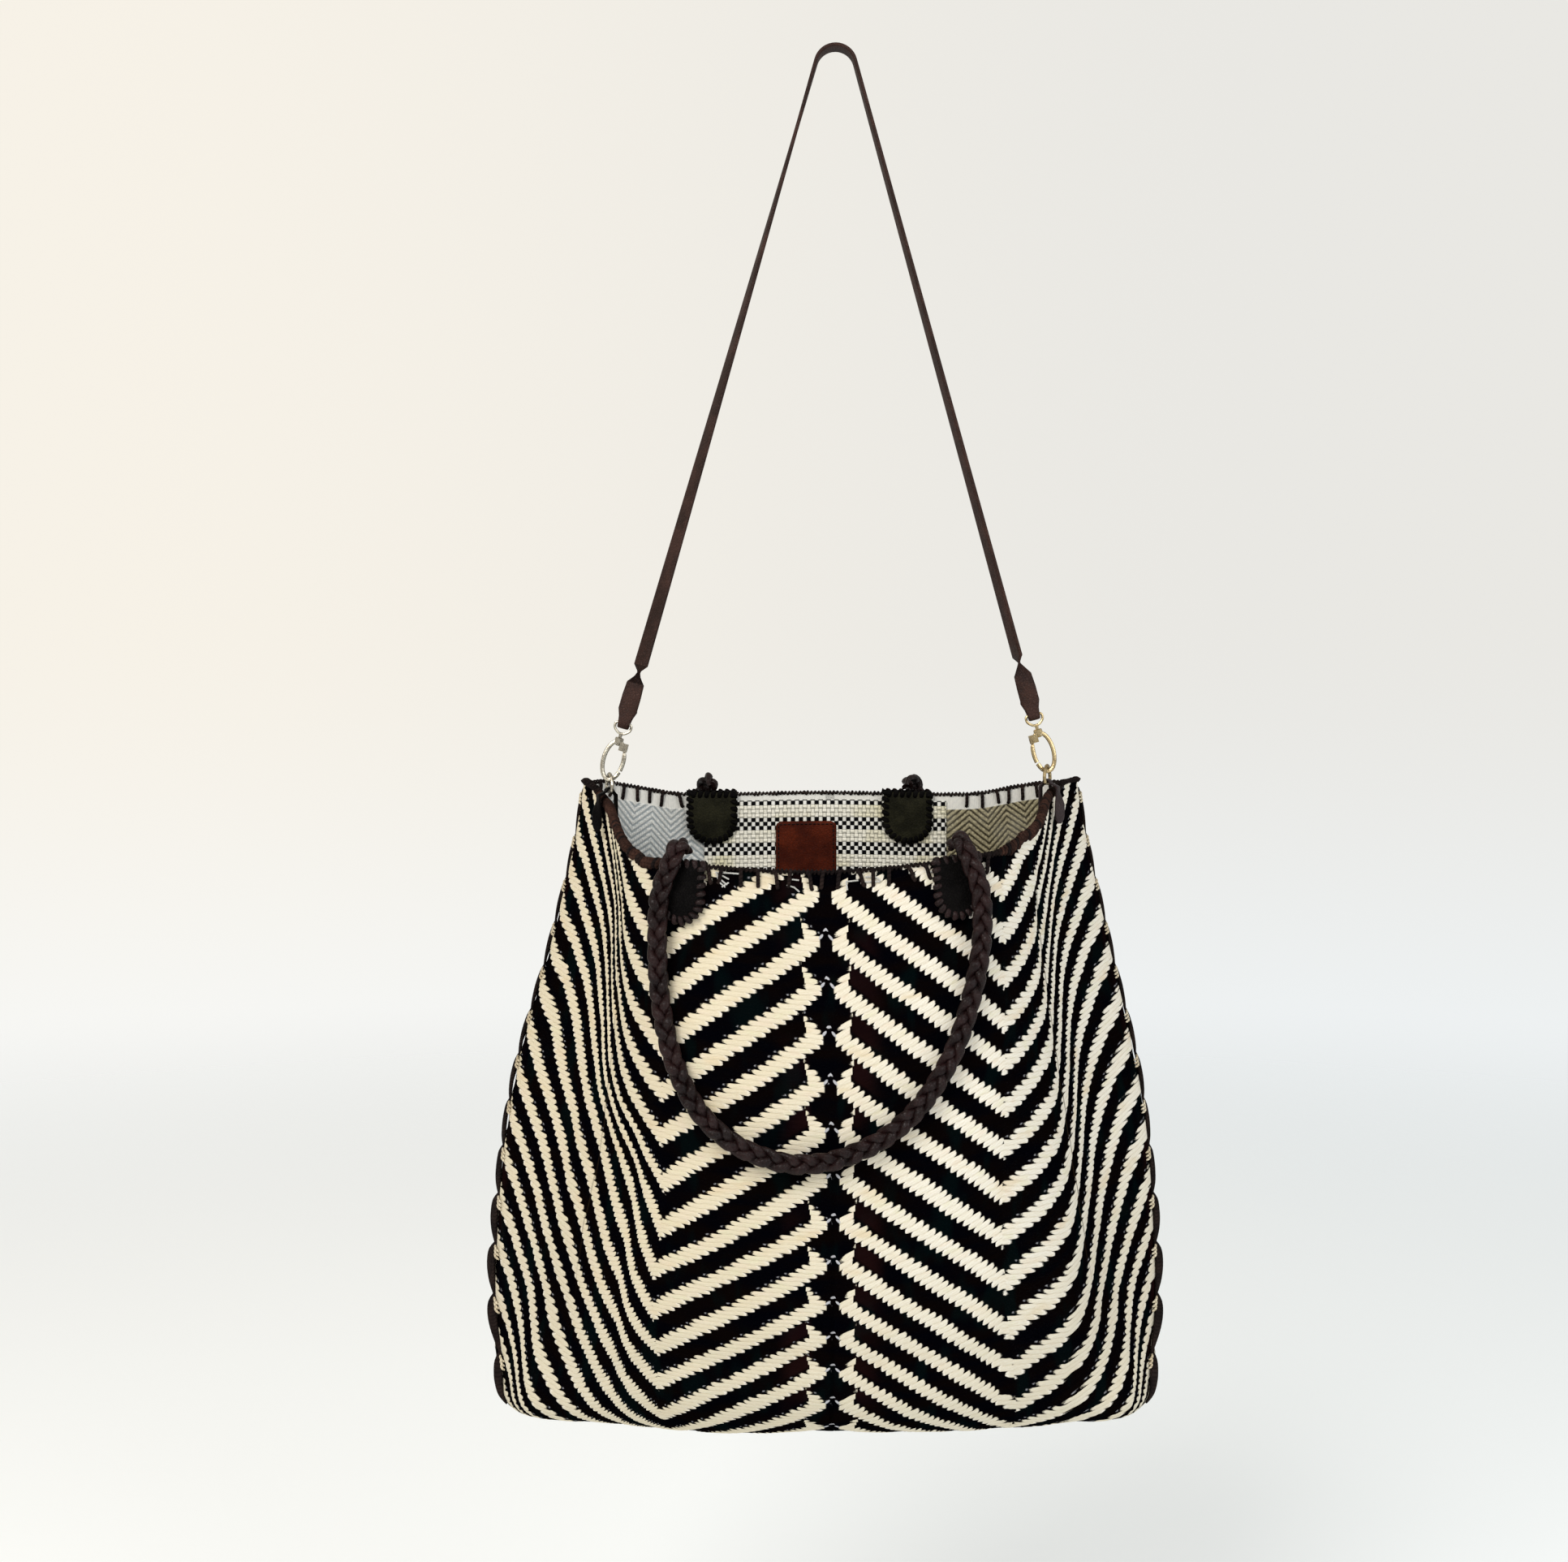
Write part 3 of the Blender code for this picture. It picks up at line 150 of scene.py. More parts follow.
# Distances down between which the high row gives way to the low one
LEFT_CLIMB_CHANGE = (150.0, 200.0)
RIGHT_CLIMB_CHANGE = (200.0, 290.0)
STRIPE_START = 0.11
STRIPE_END = 0.59
STRIPE_SHOULDER = 1.6
FLAME_NEAR = 3.8
LEFT_FLAME_FAR = 16.0
RIGHT_FLAME_FAR = 14.5
# Places of the centre and of the valleys, against distances down the cloth
CENTRE_PLACES = ((35.0, 100.0, 160.0, 190.0), (-4.3, -2.2, -0.7, 0.4))
LEFT_VALLEY_PLACES = (
    (180.0, 204.0, 228.0, 256.0, 280.0, 310.0, 335.0, 360.0, 400.0),
    (106.0, 103.5, 107.0, 114.0, 114.0, 109.5, 110.5, 114.5, 122.0),
)
RIGHT_VALLEY_PLACES = (
    (80.0, 150.0, 230.0, 262.0, 292.0, 310.0, 340.0, 368.0, 400.0),
    (108.5, 107.0, 104.0, 107.0, 109.5, 112.5, 116.0, 123.0, 127.0),
)
CREASE_AT = 197.0
# The base's cloth runs in to a line along its middle
SPINE_LEFT, SPINE_RIGHT, SPINE_Y = -95.0, 85.0, 2.0
CLOTH_CELL = 2.6
CLOTH_DROP = 450.0
BASE_ROWS = 12
LINING_COLUMNS = 220
LINING_ROWS = 60
LINING_MEASURED_ROW = 8
LINING_BASE_ROWS = 8
BASE_SAG = 1.5
STRIPE_UNIT = 0.1
# Height of a row of floats in each arm, and how far the rows sink from left to right
LEFT_ROW, RIGHT_ROW, SIDE_ROW = 3.4, 4.2, 3.3
ROW_LEAN = (
    (-250.0, -150.0, -110.0, -5.0, 100.0, 145.0, 250.0),
    (60.7, 18.7, 14.7, 0.0, 52.5, 48.0, 103.7),
)
# Where the rows get thinner at the lower left, and by how much
THIN_FROM, THIN_OVER = 100.0, 250.0
THIN_LEFT, THIN_RIGHT = -170.0, -115.0
THINNING = 0.236

# Linings, edging, pocket, label and tongues, offset from the wall's outer face
LINING = 0.8
EDGING_RISE = 1.8
EDGING_SKIRT = 5.0
POCKET = 1.0
POCKET_HALF_WIDTH = 88.0
POCKET_LENGTH = 200.0
LABEL = 1.4
LABEL_WIDTH = 44.0
LABEL_HEIGHT = 42.0
LABEL_CENTRE = -14.0
LABEL_DROP = 21.0
LINING_FACE = -3.3
POCKET_FACE = -4.7
INNER_TONGUE = -6.0
OUTER_TONGUE = 3.7
LABEL_FACE = -6.0
TONGUE_LEATHER = 1.6
FRONT_TONGUE_HALF_WIDTH = 14.5
REAR_TONGUE_HALF_WIDTH = 17.5
TONGUE_LENGTH = 36.0
OUTER_TONGUE_RISE = 2.4
INNER_TONGUE_RISE = 1.0
WHIP_SPACING = 4.9
WHIP_REACH = 4.2
WHIP_BEYOND = 0.1
WHIP_RADIUS = 1.75
LABEL_SEAM_INSET = 2.2
LABEL_STITCH = 3.0

# Yarn of the rim and the side seams
CORE_STATIONS = 420
WRAP_SPACING = 2.7
BAR_SPACING = 10.4
BAR_LENGTH = 10.5
SEAM_LOOPS = 13
SEAM_STRANDS = 5
SEAM_FOOT = 22.0

# Braided handles
BRAID_RADIUS = 6.8
BRAID_RELIEF = 1.2
BRAID_END_RADIUS = 5.8
HANDLE_DROP = 192.0
HANDLE_HALF_WIDTH = 100.0
FRONT_HANDLE_AT = 83.0
REAR_HANDLE_AT = 71.0
HANDLE_SHIFT = {-1: -8.0, 1: -11.0}
HANDLE_SKEW = 13.0
HANDLE_LIFT = 2.0
REAR_HANDLE_SINK = 2.6
PLAIT_PITCH = 34.0
PLAIT_STRANDS = 3

# Floor, light and camera, in metres
FLOOR_REACH = 5.0
FLOOR_LEVEL = -1.25
UPPER_LEFT = (0.93, 0.885, 0.80)
UPPER_RIGHT = (0.815, 0.805, 0.77)
LOWER_LEFT = (0.93, 0.945, 0.94)
LOWER_RIGHT = (0.87, 0.91, 0.93)
SURROUND_LIGHT = 0.56
LIGHTS_TARGET = (-0.03, 0.0, -0.7)
LIGHTS = (
    ("key", (-1.2, -1.9, 1.1), 1.4, 52.0, (1.0, 0.975, 0.94)),
    ("fill", (1.7, -1.5, 0.5), 1.6, 24.0, (0.96, 0.98, 1.0)),
)
CAMERA_PLACE = (-0.035, -1.16, -0.498)
SENSOR_WIDTH = 36.0
PHOTO_WIDTH = 1932.0
FOCAL_PIXELS = 2100.0

# Sizes that follow from the ones above
SIN_STRAND = {side: math.sin(angle) for side, angle in STRAND_ANGLE.items()}
COS_STRAND = {side: math.cos(angle) for side, angle in STRAND_ANGLE.items()}
STRAP_MID_RADIUS = STRAP_BEND_RADIUS + STRAP_THICKNESS / 2
BAR_RADIUS = EYE_WIRE + FIT_GAP + STRAP_THICKNESS / 2
BAR_DISTANCE = -(BAR_RADIUS + STRAP_THICKNESS / 2)
RING_TOP = CLIP_TOP + 2 * CLIP_HALF_HEIGHT - CLIP_WIRE - RING_SLACK - RING_WIRE
FOLD_X, FOLD_Z, RING_X, RING_FOOT_Z = {}, {}, {}, {}
for hand in (-1, 1):
    reach = STRAP_MID_RADIUS * COS_STRAND[hand] + STRAND_LENGTH[hand] * SIN_STRAND[hand]
    fall = STRAP_MID_RADIUS * SIN_STRAND[hand] - STRAND_LENGTH[hand] * COS_STRAND[hand]
    FOLD_X[hand] = hand * reach
    FOLD_Z[hand] = fall - STRAP_BEND_RADIUS
    RING_X[hand] = hand * (reach + RING_TOP * SIN_STRAND[hand])
    RING_FOOT_Z[hand] = FOLD_Z[hand] - RING_TOP * COS_STRAND[hand] - RING_HEIGHT
RIM_HEIGHTS = np.array((
    -554.6, -543.0, -533.0, RING_FOOT_Z[1] - RING_STAND, -498.6, -500.0, -507.0,
    -506.0, -507.0, -500.0, -498.6, RING_FOOT_Z[-1] - RING_STAND, -545.0, -549.0,
))


# The cloth is described by a place across it, in millimetres from the front
# centre and negative to the left, and by the distance down from the rim.

def smooth_values(table, position, closed=False):
    """Values on a smooth curve through evenly spaced numbers."""
    table = np.asarray(table, dtype=float)
    count = len(table)
    step = np.floor(position).astype(int)
    share = position - step

    def pick(index):
        return table[index % count] if closed else table[np.clip(index, 0, count - 1)]

    before, start, end, after = (pick(step + shift) for shift in (-1, 0, 1, 2))
    return 0.5 * (
        2 * start + (end - before) * share
        + (2 * before - 5 * start + 4 * end - after) * share ** 2
        + (3 * start - before - 3 * end + after) * share ** 3
    )


def outline_corners(height):
    """The fourteen corners of the outline at each height, as x and y."""
    level = np.interp(-height, -LEVEL_Z, np.arange(len(LEVEL_Z)))

    def at(table):
        return smooth_values(table, level)

    flat = np.zeros_like(level)
    rear = flat + REAR_Y
    corners = (
        (flat, at(FRONT_Y)),
        (at(VALLEY_X), at(VALLEY_Y)),
        (at(RIGHT_CORNER_X), at(CORNER_Y)),
        (at(RIGHT_GUSSET_X), at(GUSSET_Y)),
        (at(RIGHT_SIDE_X), at(SIDE_Y)),
        (at(REAR_CORNER_X), rear),
        (flat + VALLEY_AT, rear),
        (flat, rear),
        (flat - VALLEY_AT, rear),
        (-at(REAR_CORNER_X), rear),
        (-at(LEFT_SIDE_X), at(SIDE_Y)),
        (-at(LEFT_GUSSET_X), at(GUSSET_Y)),
        (-at(LEFT_CORNER_X), at(CORNER_Y)),
        (-at(VALLEY_X), at(VALLEY_Y)),
    )
    return np.stack([np.stack((x + BAG_SHIFT, y), axis=-1) for x, y in corners])


def rounded_outline(corners, column):
    """Points of closed curves through unevenly spaced corners."""
    step = np.floor(column).astype(int)
    share = (column - step)[:, None]
    index = np.arange(len(column))
    before, start, end, after = (corners[(step + shift) % COLUMNS, index] for shift in (-1, 0, 1, 2))

    def length(part):
        return np.linalg.norm(part, axis=1)[:, None]

    first, middle, last = length(start - before), length(end - start), length(after - end)
    leave = (start - before) / first - (end - before) / (first + middle) + (end - start) / middle
    arrive = (end - start) / middle - (after - start) / (middle + last) + (after - end) / last
    cubed, squared = share ** 3, share ** 2
    return (
        start * (2 * cubed - 3 * squared + 1) + end * (3 * squared - 2 * cubed)
        + leave * middle * (cubed - 2 * squared + share) + arrive * middle * (cubed - squared)
    )


def outline(column, height):
    """Points of the outline and their outward directions."""
    corners = outline_corners(height)
    point = rounded_outline(corners, column)
    along = rounded_outline(corners, column + 0.02) - rounded_outline(corners, column - 0.02)
    outward = np.stack((along[:, 1], -along[:, 0]), axis=1)
    return point, outward / np.linalg.norm(outward, axis=1)[:, None]


def rim_height(column):
    """Height of the rim, which is lowest in front."""
    return smooth_values(RIM_HEIGHTS, column, closed=True)


def base_radius(column):
    """Radius of the bend from the wall into the base."""
    return smooth_values(BASE_RADII, column, closed=True)


def cloth_length(column):
    """Distance down the cloth from the rim to the flat base."""
    radius = base_radius(column)
    return rim_height(column) - BASE_Z - radius + radius * math.pi / 2


def pleat(column, down):
    """Depth of the creases that run down from the ring tabs."""
    folded = column % COLUMNS
    depth = np.zeros_like(down)
    for crease in (PLEAT_AT, COLUMNS - PLEAT_AT):
        away = np.clip(np.abs(folded - crease) / PLEAT_HALF_WIDTH, 0, 1)
        depth += PLEAT_DEPTH * (1 - away) * np.clip(down / PLEAT_START, 0, 1)
    return depth * np.clip(1 - down / PLEAT_END, 0, 1)


def cloth(column, down, offset):
    """Points of the cloth, offset outwards from its outer face."""
    column, down, offset = np.broadcast_arrays(
        np.asarray(column, float), np.asarray(down, float), np.asarray(offset, float)
    )
    shape = column.shape
    column, down, offset = column.ravel(), down.ravel(), offset.ravel().copy()
    radius, rim = base_radius(column), rim_height(column)
    straight = rim - BASE_Z - radius
    turn = np.clip((down - straight) / radius, 0, math.pi / 2)
    height = np.where(down <= straight, rim - down, BASE_Z + radius)
    point, outward = outline(column, height)
    offset = np.where((offset < 0) & (turn > 0), offset * (1 + BASE_THICKENING * np.sin(turn)), offset)
    inward = radius * (1 - np.cos(turn))
    reach = offset * np.cos(turn) - inward - pleat(column, np.maximum(down, 0))
    level = height - radius * np.sin(turn) - offset * np.sin(turn)
    flat = point + outward * reach[:, None]
    return np.column_stack((flat, level)).reshape(*shape, 3)


def lifted(column, down):
    """Distance down that raises the rim a little between a ring and its corner."""
    away = np.minimum(np.abs(column - CORNER_RISE_AT), np.abs(column - COLUMNS + CORNER_RISE_AT))
    share = np.clip((CORNER_RISE_REACH - away) / CORNER_RISE_EASE, 0, 1)
    rise = CORNER_RISE * share * share * (3 - 2 * share)
    return down - rise * np.clip(1 - down / CORNER_RISE_DROP, 0, 1)


def column_at(across):
    """Column at a signed place across the cloth."""
    column = np.interp(np.abs(across), CLOTH_AT, range(len(CLOTH_AT)))
    return np.where(np.asarray(across) < 0, COLUMNS - column, column)


def cloth_point(column, down, offset):
    """One point of the cloth."""
    return cloth([column], [down], [offset])[0]


def travelled(path):
    """Distance along a path at each of its points."""
    return np.concatenate(([0.0], np.cumsum(np.linalg.norm(np.diff(path, axis=0), axis=1))))


# Materials

def joined(operation, swapped=False):
    """An operator between a signal and a number or another signal."""
    def method(signal, other):
        values = (other, signal) if swapped else (signal, other)
        return signal.nodes.math(operation, *values)

    return method


def changed(operation):
    """An operator on one signal."""
    def method(signal):
        return signal.nodes.math(operation, signal)

    return method


class Signal:
    """What a socket gives, for plain arithmetic between nodes."""

    def __init__(self, nodes, socket):
        self.nodes, self.socket = nodes, socket

    __add__, __radd__ = joined("ADD"), joined("ADD", swapped=True)
    __sub__, __rsub__ = joined("SUBTRACT"), joined("SUBTRACT", swapped=True)
    __mul__, __rmul__ = joined("MULTIPLY"), joined("MULTIPLY", swapped=True)
    __truediv__, __rtruediv__ = joined("DIVIDE"), joined("DIVIDE", swapped=True)
    __pow__ = joined("POWER")
    __lt__, __gt__ = joined("LESS_THAN"), joined("GREATER_THAN")
    __abs__, floor, fract = changed("ABSOLUTE"), changed("FLOOR"), changed("FRACT")


class Nodes:
    """A node tree, with short names for the nodes it uses."""

    def __init__(self, tree):
        self.tree = tree

    def feed(self, socket, value):
        if isinstance(value, Signal):
            self.tree.links.new(value.socket, socket)
        elif isinstance(value, (tuple, list)):
            padded = (*value, 1.0) if len(socket.default_value) == 4 and len(value) == 3 else value
            socket.default_value = padded
        else:
            socket.default_value = value

    def node(self, kind, inputs=None, output=0, **settings):
        """The output of a new node, whose inputs are given by place or name."""
        node = self.tree.nodes.new("ShaderNode" + kind)
        for name, value in settings.items():
            setattr(node, name, value)
        for place, value in (inputs or {}).items():
            self.feed(node.inputs[place], value)
        return Signal(self, node.outputs[output])

    def math(self, operation, *values):
        return self.node("Math", dict(enumerate(values)), operation=operation)

    def pick(self, share, low, high):
        """low where share is 0 and high where it is 1, for numbers."""
        return low + share * (high - low)

    def ramp(self, value, start, end):
        """0 below start and 1 above end, smooth between them."""
        inputs = dict(enumerate((value, start, end, 0.0, 1.0)))
        return self.node("MapRange", inputs, interpolation_type="SMOOTHSTEP")

    def mix(self, share, low, high):
        """A colour between two colours."""
        return self.node("Mix", {0: share, 6: low, 7: high}, output=2, data_type="RGBA", clamp_factor=True)

    def vector(self, x=0.0, y=0.0, z=0.0):
        return self.node("CombineXYZ", {0: x, 1: y, 2: z})

    def split(self, vector):
        node = self.node("SeparateXYZ", {0: vector}).socket.node
        return [Signal(self, socket) for socket in node.outputs]

    def uv(self, layer="cloth", units=(MM, MM)):
        """Across and down in millimetres, or a layer's two values in other units."""
        across, down, _ = self.split(self.node("UVMap", uv_map=layer))
        return across * (1 / units[0]), down * (1 / units[1])

    def place(self, space="Object"):
        """The point in the object's own space, in metres."""
        return self.node("TexCoord", output=space)

    def noise(self, vector, scale, detail=2.0, roughness=0.5):
        inputs = {"Vector": vector, "Scale": scale, "Detail": detail, "Roughness": roughness}
        return self.node("TexNoise", inputs)

    def flat_noise(self, x, y, detail=2.0, roughness=0.5):
        return self.noise(self.vector(x, y), 1.0, detail, roughness)

    def cells(self, vector, scale, feature="F1"):
        return self.node("TexVoronoi", {"Vector": vector, "Scale": scale}, feature=feature)

    def chance(self, vector):
        """A random number for each whole-number place."""
        return self.node("TexWhiteNoise", {"Vector": vector})


class Look(Nodes):
    """One material and its nodes."""

    def __init__(self, name):
        self.material = bpy.data.materials.new(name)
        self.material.use_nodes = True
        super().__init__(self.material.node_tree)
        self.shader = self.tree.nodes["Principled BSDF"]

    def bump(self, height, distance):
        self.feed(self.shader.inputs["Normal"], self.node("Bump", {"Height": height, "Distance": distance}))

    def finish(self, **values):
        for name, value in values.items():
            self.feed(self.shader.inputs[name.replace("_", " ").title().replace("Ior", "IOR")], value)
        return self.material


def wool_look():
    """Handspun zigzag cloth: slanted floats of cream yarn over a black ground."""
    look = Look("zigzag_wool")
    across, down = look.uv()
    spread = look.math("PINGPONG", across, REAR_AT)
    from_side = abs(spread - SIDE_AT)
    middle = SIDE_AT - from_side
    peak = look.math("MINIMUM", middle, from_side)
    passed, lines = look.uv("stripes", (STRIPE_UNIT, MM))

    inner = spread < VALLEY_AT
    right = across > 0.0
    thick = look.pick(inner, SIDE_ROW, look.pick(right, LEFT_ROW, RIGHT_ROW))
    zone = inner + right * 2.0
    wander = look.flat_noise(across * 0.012, down * 0.012, 2.0)
    ripple = look.flat_noise(across * 0.06, down * 0.06, 2.0)
    bent = lines + (wander - 0.5) * 4.0 + (ripple - 0.5) * 3.0
    row_place = bent / thick
    row = row_place.floor()
    within = row_place.fract()
    phase = passed + (wander - 0.5) * 0.16 + (0.5 - within) * thick * (1 / PERIOD)
    stripe = (phase + (1 - STRIPE_END)).floor()
    chance = look.chance(look.vector(row, stripe, zone))
    other = look.chance(look.vector(row + 0.37, stripe, zone))
    share = (phase + (1 - STRIPE_END)).fract() - (1 - STRIPE_END)
    edge = abs(within * 2.0 - 1.0)
    far = look.pick(right, LEFT_FLAME_FAR, RIGHT_FLAME_FAR)
    in_flame = peak < far - (share + 0.4) * 5.0
    slope = 0.74 / (far - FLAME_NEAR)
    flame = 0.35 - (peak - FLAME_NEAR) * slope
    start = look.pick(in_flame, STRIPE_START, flame)
    start = start + edge ** 2.5 * 0.05 + (chance - 0.5) * 0.06 + within * 0.02
    end = STRIPE_END - (edge ** 4.0 * 0.045 + other * 0.045 + within * -0.02)
    coarse_fuzz = look.flat_noise(across * 0.6, down * 1.4, 4.0, 0.75)
    place = share + (coarse_fuzz - 0.5) * 0.11
    cream = (
        look.ramp(place - start, -0.014, 0.014)
        * look.ramp(end - place, -0.014, 0.014)
        * look.ramp(peak, FLAME_NEAR - 0.4, FLAME_NEAR + 0.4)
    )
    # Loose ends beside the upper teeth
    fleck = (
        look.ramp(abs(place - start + 0.052), 0.022, 0.006)
        * look.ramp(abs(within - 0.34), 0.24, 0.08)
        * (other * chance > 0.25)
        * (inner * right < 0.5)
    )
    # Small pale stitches where the black diamonds meet on the centre line
    level = (passed + (1 - STRIPE_END)).fract() - (1 - STRIPE_END)
    knot_down = (level - 0.385) * PERIOD
    knot_across = (peak - 3.0) * 0.8
    knot = knot_across * knot_across + knot_down * knot_down
    crown_down = (level - 0.29) * (PERIOD * 1.2)
    crown = peak * peak * 0.5 + crown_down * crown_down
    pale = look.math(
        "MAXIMUM",
        fleck * 0.42,
        (
            look.math("MAXIMUM", look.ramp(knot, 1.9, 0.8), look.ramp(crown, 1.6, 0.6))
            * (passed > 0.0)
            * 0.75
        ),
    )

    # Plies inside a float, and its fibres
    twist = look.flat_noise(across * 0.35, down * 0.35, 2.0)
    strand = (row_place * 2.0 + across * 0.11 + twist * 1.2).fract()
    strand_gap = abs(strand * 2.0 - 1.0)
    fibre = look.flat_noise(across * 0.45, lines * 3.4, 4.0, 0.7)
    fluff = look.flat_noise(across * 1.4, down * 1.4, 4.0, 0.7)
    tone = look.flat_noise(across * 0.022, down * 0.07, 3.0)
    side_tone = look.ramp(across, -60.0, 80.0)
    warm = (0.73, 0.645, 0.475)
    fair = (0.83, 0.80, 0.72)
    base = look.mix(side_tone, warm, fair)
    hue = look.flat_noise(across * 0.06, lines * 0.16, 2.0)
    base = look.mix(look.ramp(hue, 0.56, 0.7) * 0.45, base, (0.76, 0.62, 0.5))
    base = look.mix(look.ramp(hue, 0.44, 0.3) * 0.45, base, (0.7, 0.69, 0.46))
    base = look.mix(look.ramp(tone, 0.56, 0.72) * 0.55, base, (0.68, 0.51, 0.29))
    # Painted shade: the cream darkens towards the bottom of the bag
    base = look.mix(look.ramp(down, 220.0, 340.0) * 0.7, base, (0.6, 0.56, 0.45))
    # Painted shade in the gaps between the rows of floats
    row_gap_shade = edge ** 6.0 * look.ramp(fluff, 0.3, 0.62)
    base = look.mix(row_gap_shade * 0.64, base, (0.4, 0.3, 0.14))
    # Painted shade in the grooves between the plies of each float
    base = look.mix(strand_gap ** 4.0 * 0.38, base, (0.52, 0.42, 0.24))
    base = look.mix(look.ramp(fibre, 0.35, 0.75) * 0.34, base, (0.93, 0.89, 0.8))
    base = look.mix(look.ramp(fibre, 0.42, 0.25) * 0.3, base, (0.5, 0.42, 0.25))
    base = look.mix(look.ramp(fluff, 0.6, 0.4) * 0.2, base, (0.58, 0.5, 0.32))
    base = look.mix(chance * 0.16, base, (0.64, 0.54, 0.36))
    # Painted highlight at the end of each float
    tip_highlight = look.ramp(end - place, 0.075, 0.02) * look.ramp(fluff, 0.35, 0.55)
    base = look.mix(tip_highlight * 0.5, base, (0.95, 0.92, 0.88))
    ground = look.mix(look.ramp(tone, 0.35, 0.65), (0.0006, 0.0006, 0.0016), (0.0022, 0.0011, 0.0010))
    green = look.ramp(look.flat_noise(across * 0.05, down * 0.02), 0.52, 0.66)
    ground = look.mix(green * 0.6, ground, (0.0008, 0.004, 0.0042))
    flecked = look.ramp(fluff, 0.56, 0.72) * look.pick(inner, 0.65, 0.28)
    ground = look.mix(flecked, ground, (0.022, 0.023, 0.025))
    brown = (
        look.ramp(level, 0.08, -0.04)
        * look.ramp(peak, 34.0, 22.0)
        * look.ramp(peak, 11.0, 15.0)
        * look.ramp(wander, 0.42, 0.6)
        * 0.6
    )
    ground = look.mix(brown, ground, (0.014, 0.0045, 0.0045))
    colour = look.mix(cream, ground, base)
    colour = look.mix(pale, colour, (0.62, 0.62, 0.66))
    # Painted shade in the sharp fold below each ring, stronger on the right
    fold_shade = (
        look.ramp(abs(spread - CREASE_AT), 1.3, 0.4)
        * look.ramp(down, 320.0, 250.0)
        * look.ramp(down, 20.0, 60.0)
    )
    colour = look.mix(fold_shade * look.pick(right, 0.35, 0.85), colour, (0.028, 0.018, 0.01))

    round_row = 1.0 - edge * edge
    height = (
        cream * 0.7 + round_row * 0.26 + (1.0 - strand_gap) * 0.12 + fibre * 0.3 + fluff * 0.3 + pale * 0.6
    )
    look.bump(height, distance=0.0008)
    return look.finish(base_color=colour, roughness=0.95, specular_ior_level=0.0)


def yarn_look(name, dark, light, twist=2.6):
    """Twisted yarn on tubes whose first UV runs along and second around."""
    look = Look(name)
    along, around = look.uv()
    spin = (along * (1 / twist) + around * 0.002).fract()
    ply = abs(spin * 2.0 - 1.0)
    fibre = look.flat_noise(along * 0.6, around * 0.02, 3.0, 0.7)
    tone = look.noise(look.place(), 90.0, 2.0)
    colour = look.mix(look.ramp(tone, 0.35, 0.7), dark, light)
    # Painted shade in the grooves between the plies
    colour = look.mix(ply ** 3.0 * 0.6, colour, [part * 0.3 for part in dark])
    colour = look.mix(look.ramp(fibre, 0.5, 0.8) * 0.35, colour, [part * 1.9 for part in light])
    look.bump(fibre * 0.5 - ply * ply * 0.9, distance=0.0006)
    return look.finish(base_color=colour, roughness=0.92, specular_ior_level=0.06)


def leather_look(name, dark, light, worn, roughness=0.5, specular=0.15, grain=520.0):
    """Oiled leather with pores, creases and lighter wear."""
    look = Look(name)
    place = look.place()
    pores = look.cells(place, grain * 2.2)
    crease = look.cells(place, grain, "DISTANCE_TO_EDGE")
    broad = look.noise(place, 60.0, 4.0, 0.6)
    fine = look.noise(place, 900.0, 3.0, 0.6)
    colour = look.mix(look.ramp(broad, 0.35, 0.68), dark, light)
    # Painted shade in the creases of the grain
    colour = look.mix(look.ramp(crease, 0.09, 0.0) * 0.5, colour, [part * 0.35 for part in dark])
    colour = look.mix(look.ramp(fine, 0.58, 0.75) * 0.45, colour, worn)
    height = look.ramp(crease, 0.0, 0.18) * 0.5 + pores * 0.2 + broad * 1.6
    look.bump(height, distance=0.0003)
    shine = roughness - 0.1 + fine * 0.22
    return look.finish(base_color=colour, roughness=shine, specular_ior_level=specular)


def metal_look(name, colour, shade, tarnish):
    """Cast metal, rubbed bright, with tarnish in patches."""
    look = Look(name)
    place = look.place()
    broad = look.noise(place, 130.0, 4.0, 0.6)
    fine = look.noise(place, 1500.0, 3.0, 0.6)
    mixed = look.mix(look.ramp(broad, 0.35, 0.65), colour, shade)
    mixed = look.mix(look.ramp(fine, 0.55, 0.72) * 0.6, mixed, tarnish)
    look.bump(broad * 1.4 + fine, distance=0.00012)
    shine = 0.17 + fine * 0.22
    return look.finish(base_color=mixed, roughness=shine, metallic=1.0)


def lining_look():
    """Herringbone cloth, blue-grey to the left and olive to the right."""
    look = Look("herringbone_lining")
    across, down = look.uv()
    rib = look.math("PINGPONG", across + AROUND, 16.0)
    rough = look.flat_noise(across * 0.5, down * 0.5, 3.0)
    climbed = down + rib * 0.8 + rough * 1.6
    thread = (climbed * 0.22).fract()
    ridge = look.ramp(abs(thread * 2.0 - 1.0), 0.1, 0.75)
    ridge = ridge * look.pick(look.ramp(rough, 0.42, 0.6), 0.6, 1.0)
    fine = abs((across * 0.9).fract() * 2.0 - 1.0)
    broad = look.flat_noise(across * 0.02, down * 0.02, 3.0)
    left = look.mix(ridge, (0.33, 0.37, 0.39), (0.84, 0.84, 0.81))
    right = look.mix(ridge, (0.030, 0.023, 0.010), (0.52, 0.46, 0.29))
    colour = look.mix(look.ramp(across, -20.0, 20.0), left, right)
    colour = look.mix(fine * 0.16, colour, (0.2, 0.19, 0.16))
    colour = look.mix(look.ramp(broad, 0.45, 0.7) * 0.2, colour, (0.62, 0.6, 0.52))
    band = look.ramp(down, 12.0, 11.0)
    colour = look.mix(band * 0.9, colour, (0.8, 0.79, 0.74))
    height = ridge * (1.0 - band) * 0.8 + fine * 0.4 + broad * 0.5
    look.bump(height, distance=0.0006)
    return look.finish(base_color=colour, roughness=0.95, specular_ior_level=0.03)


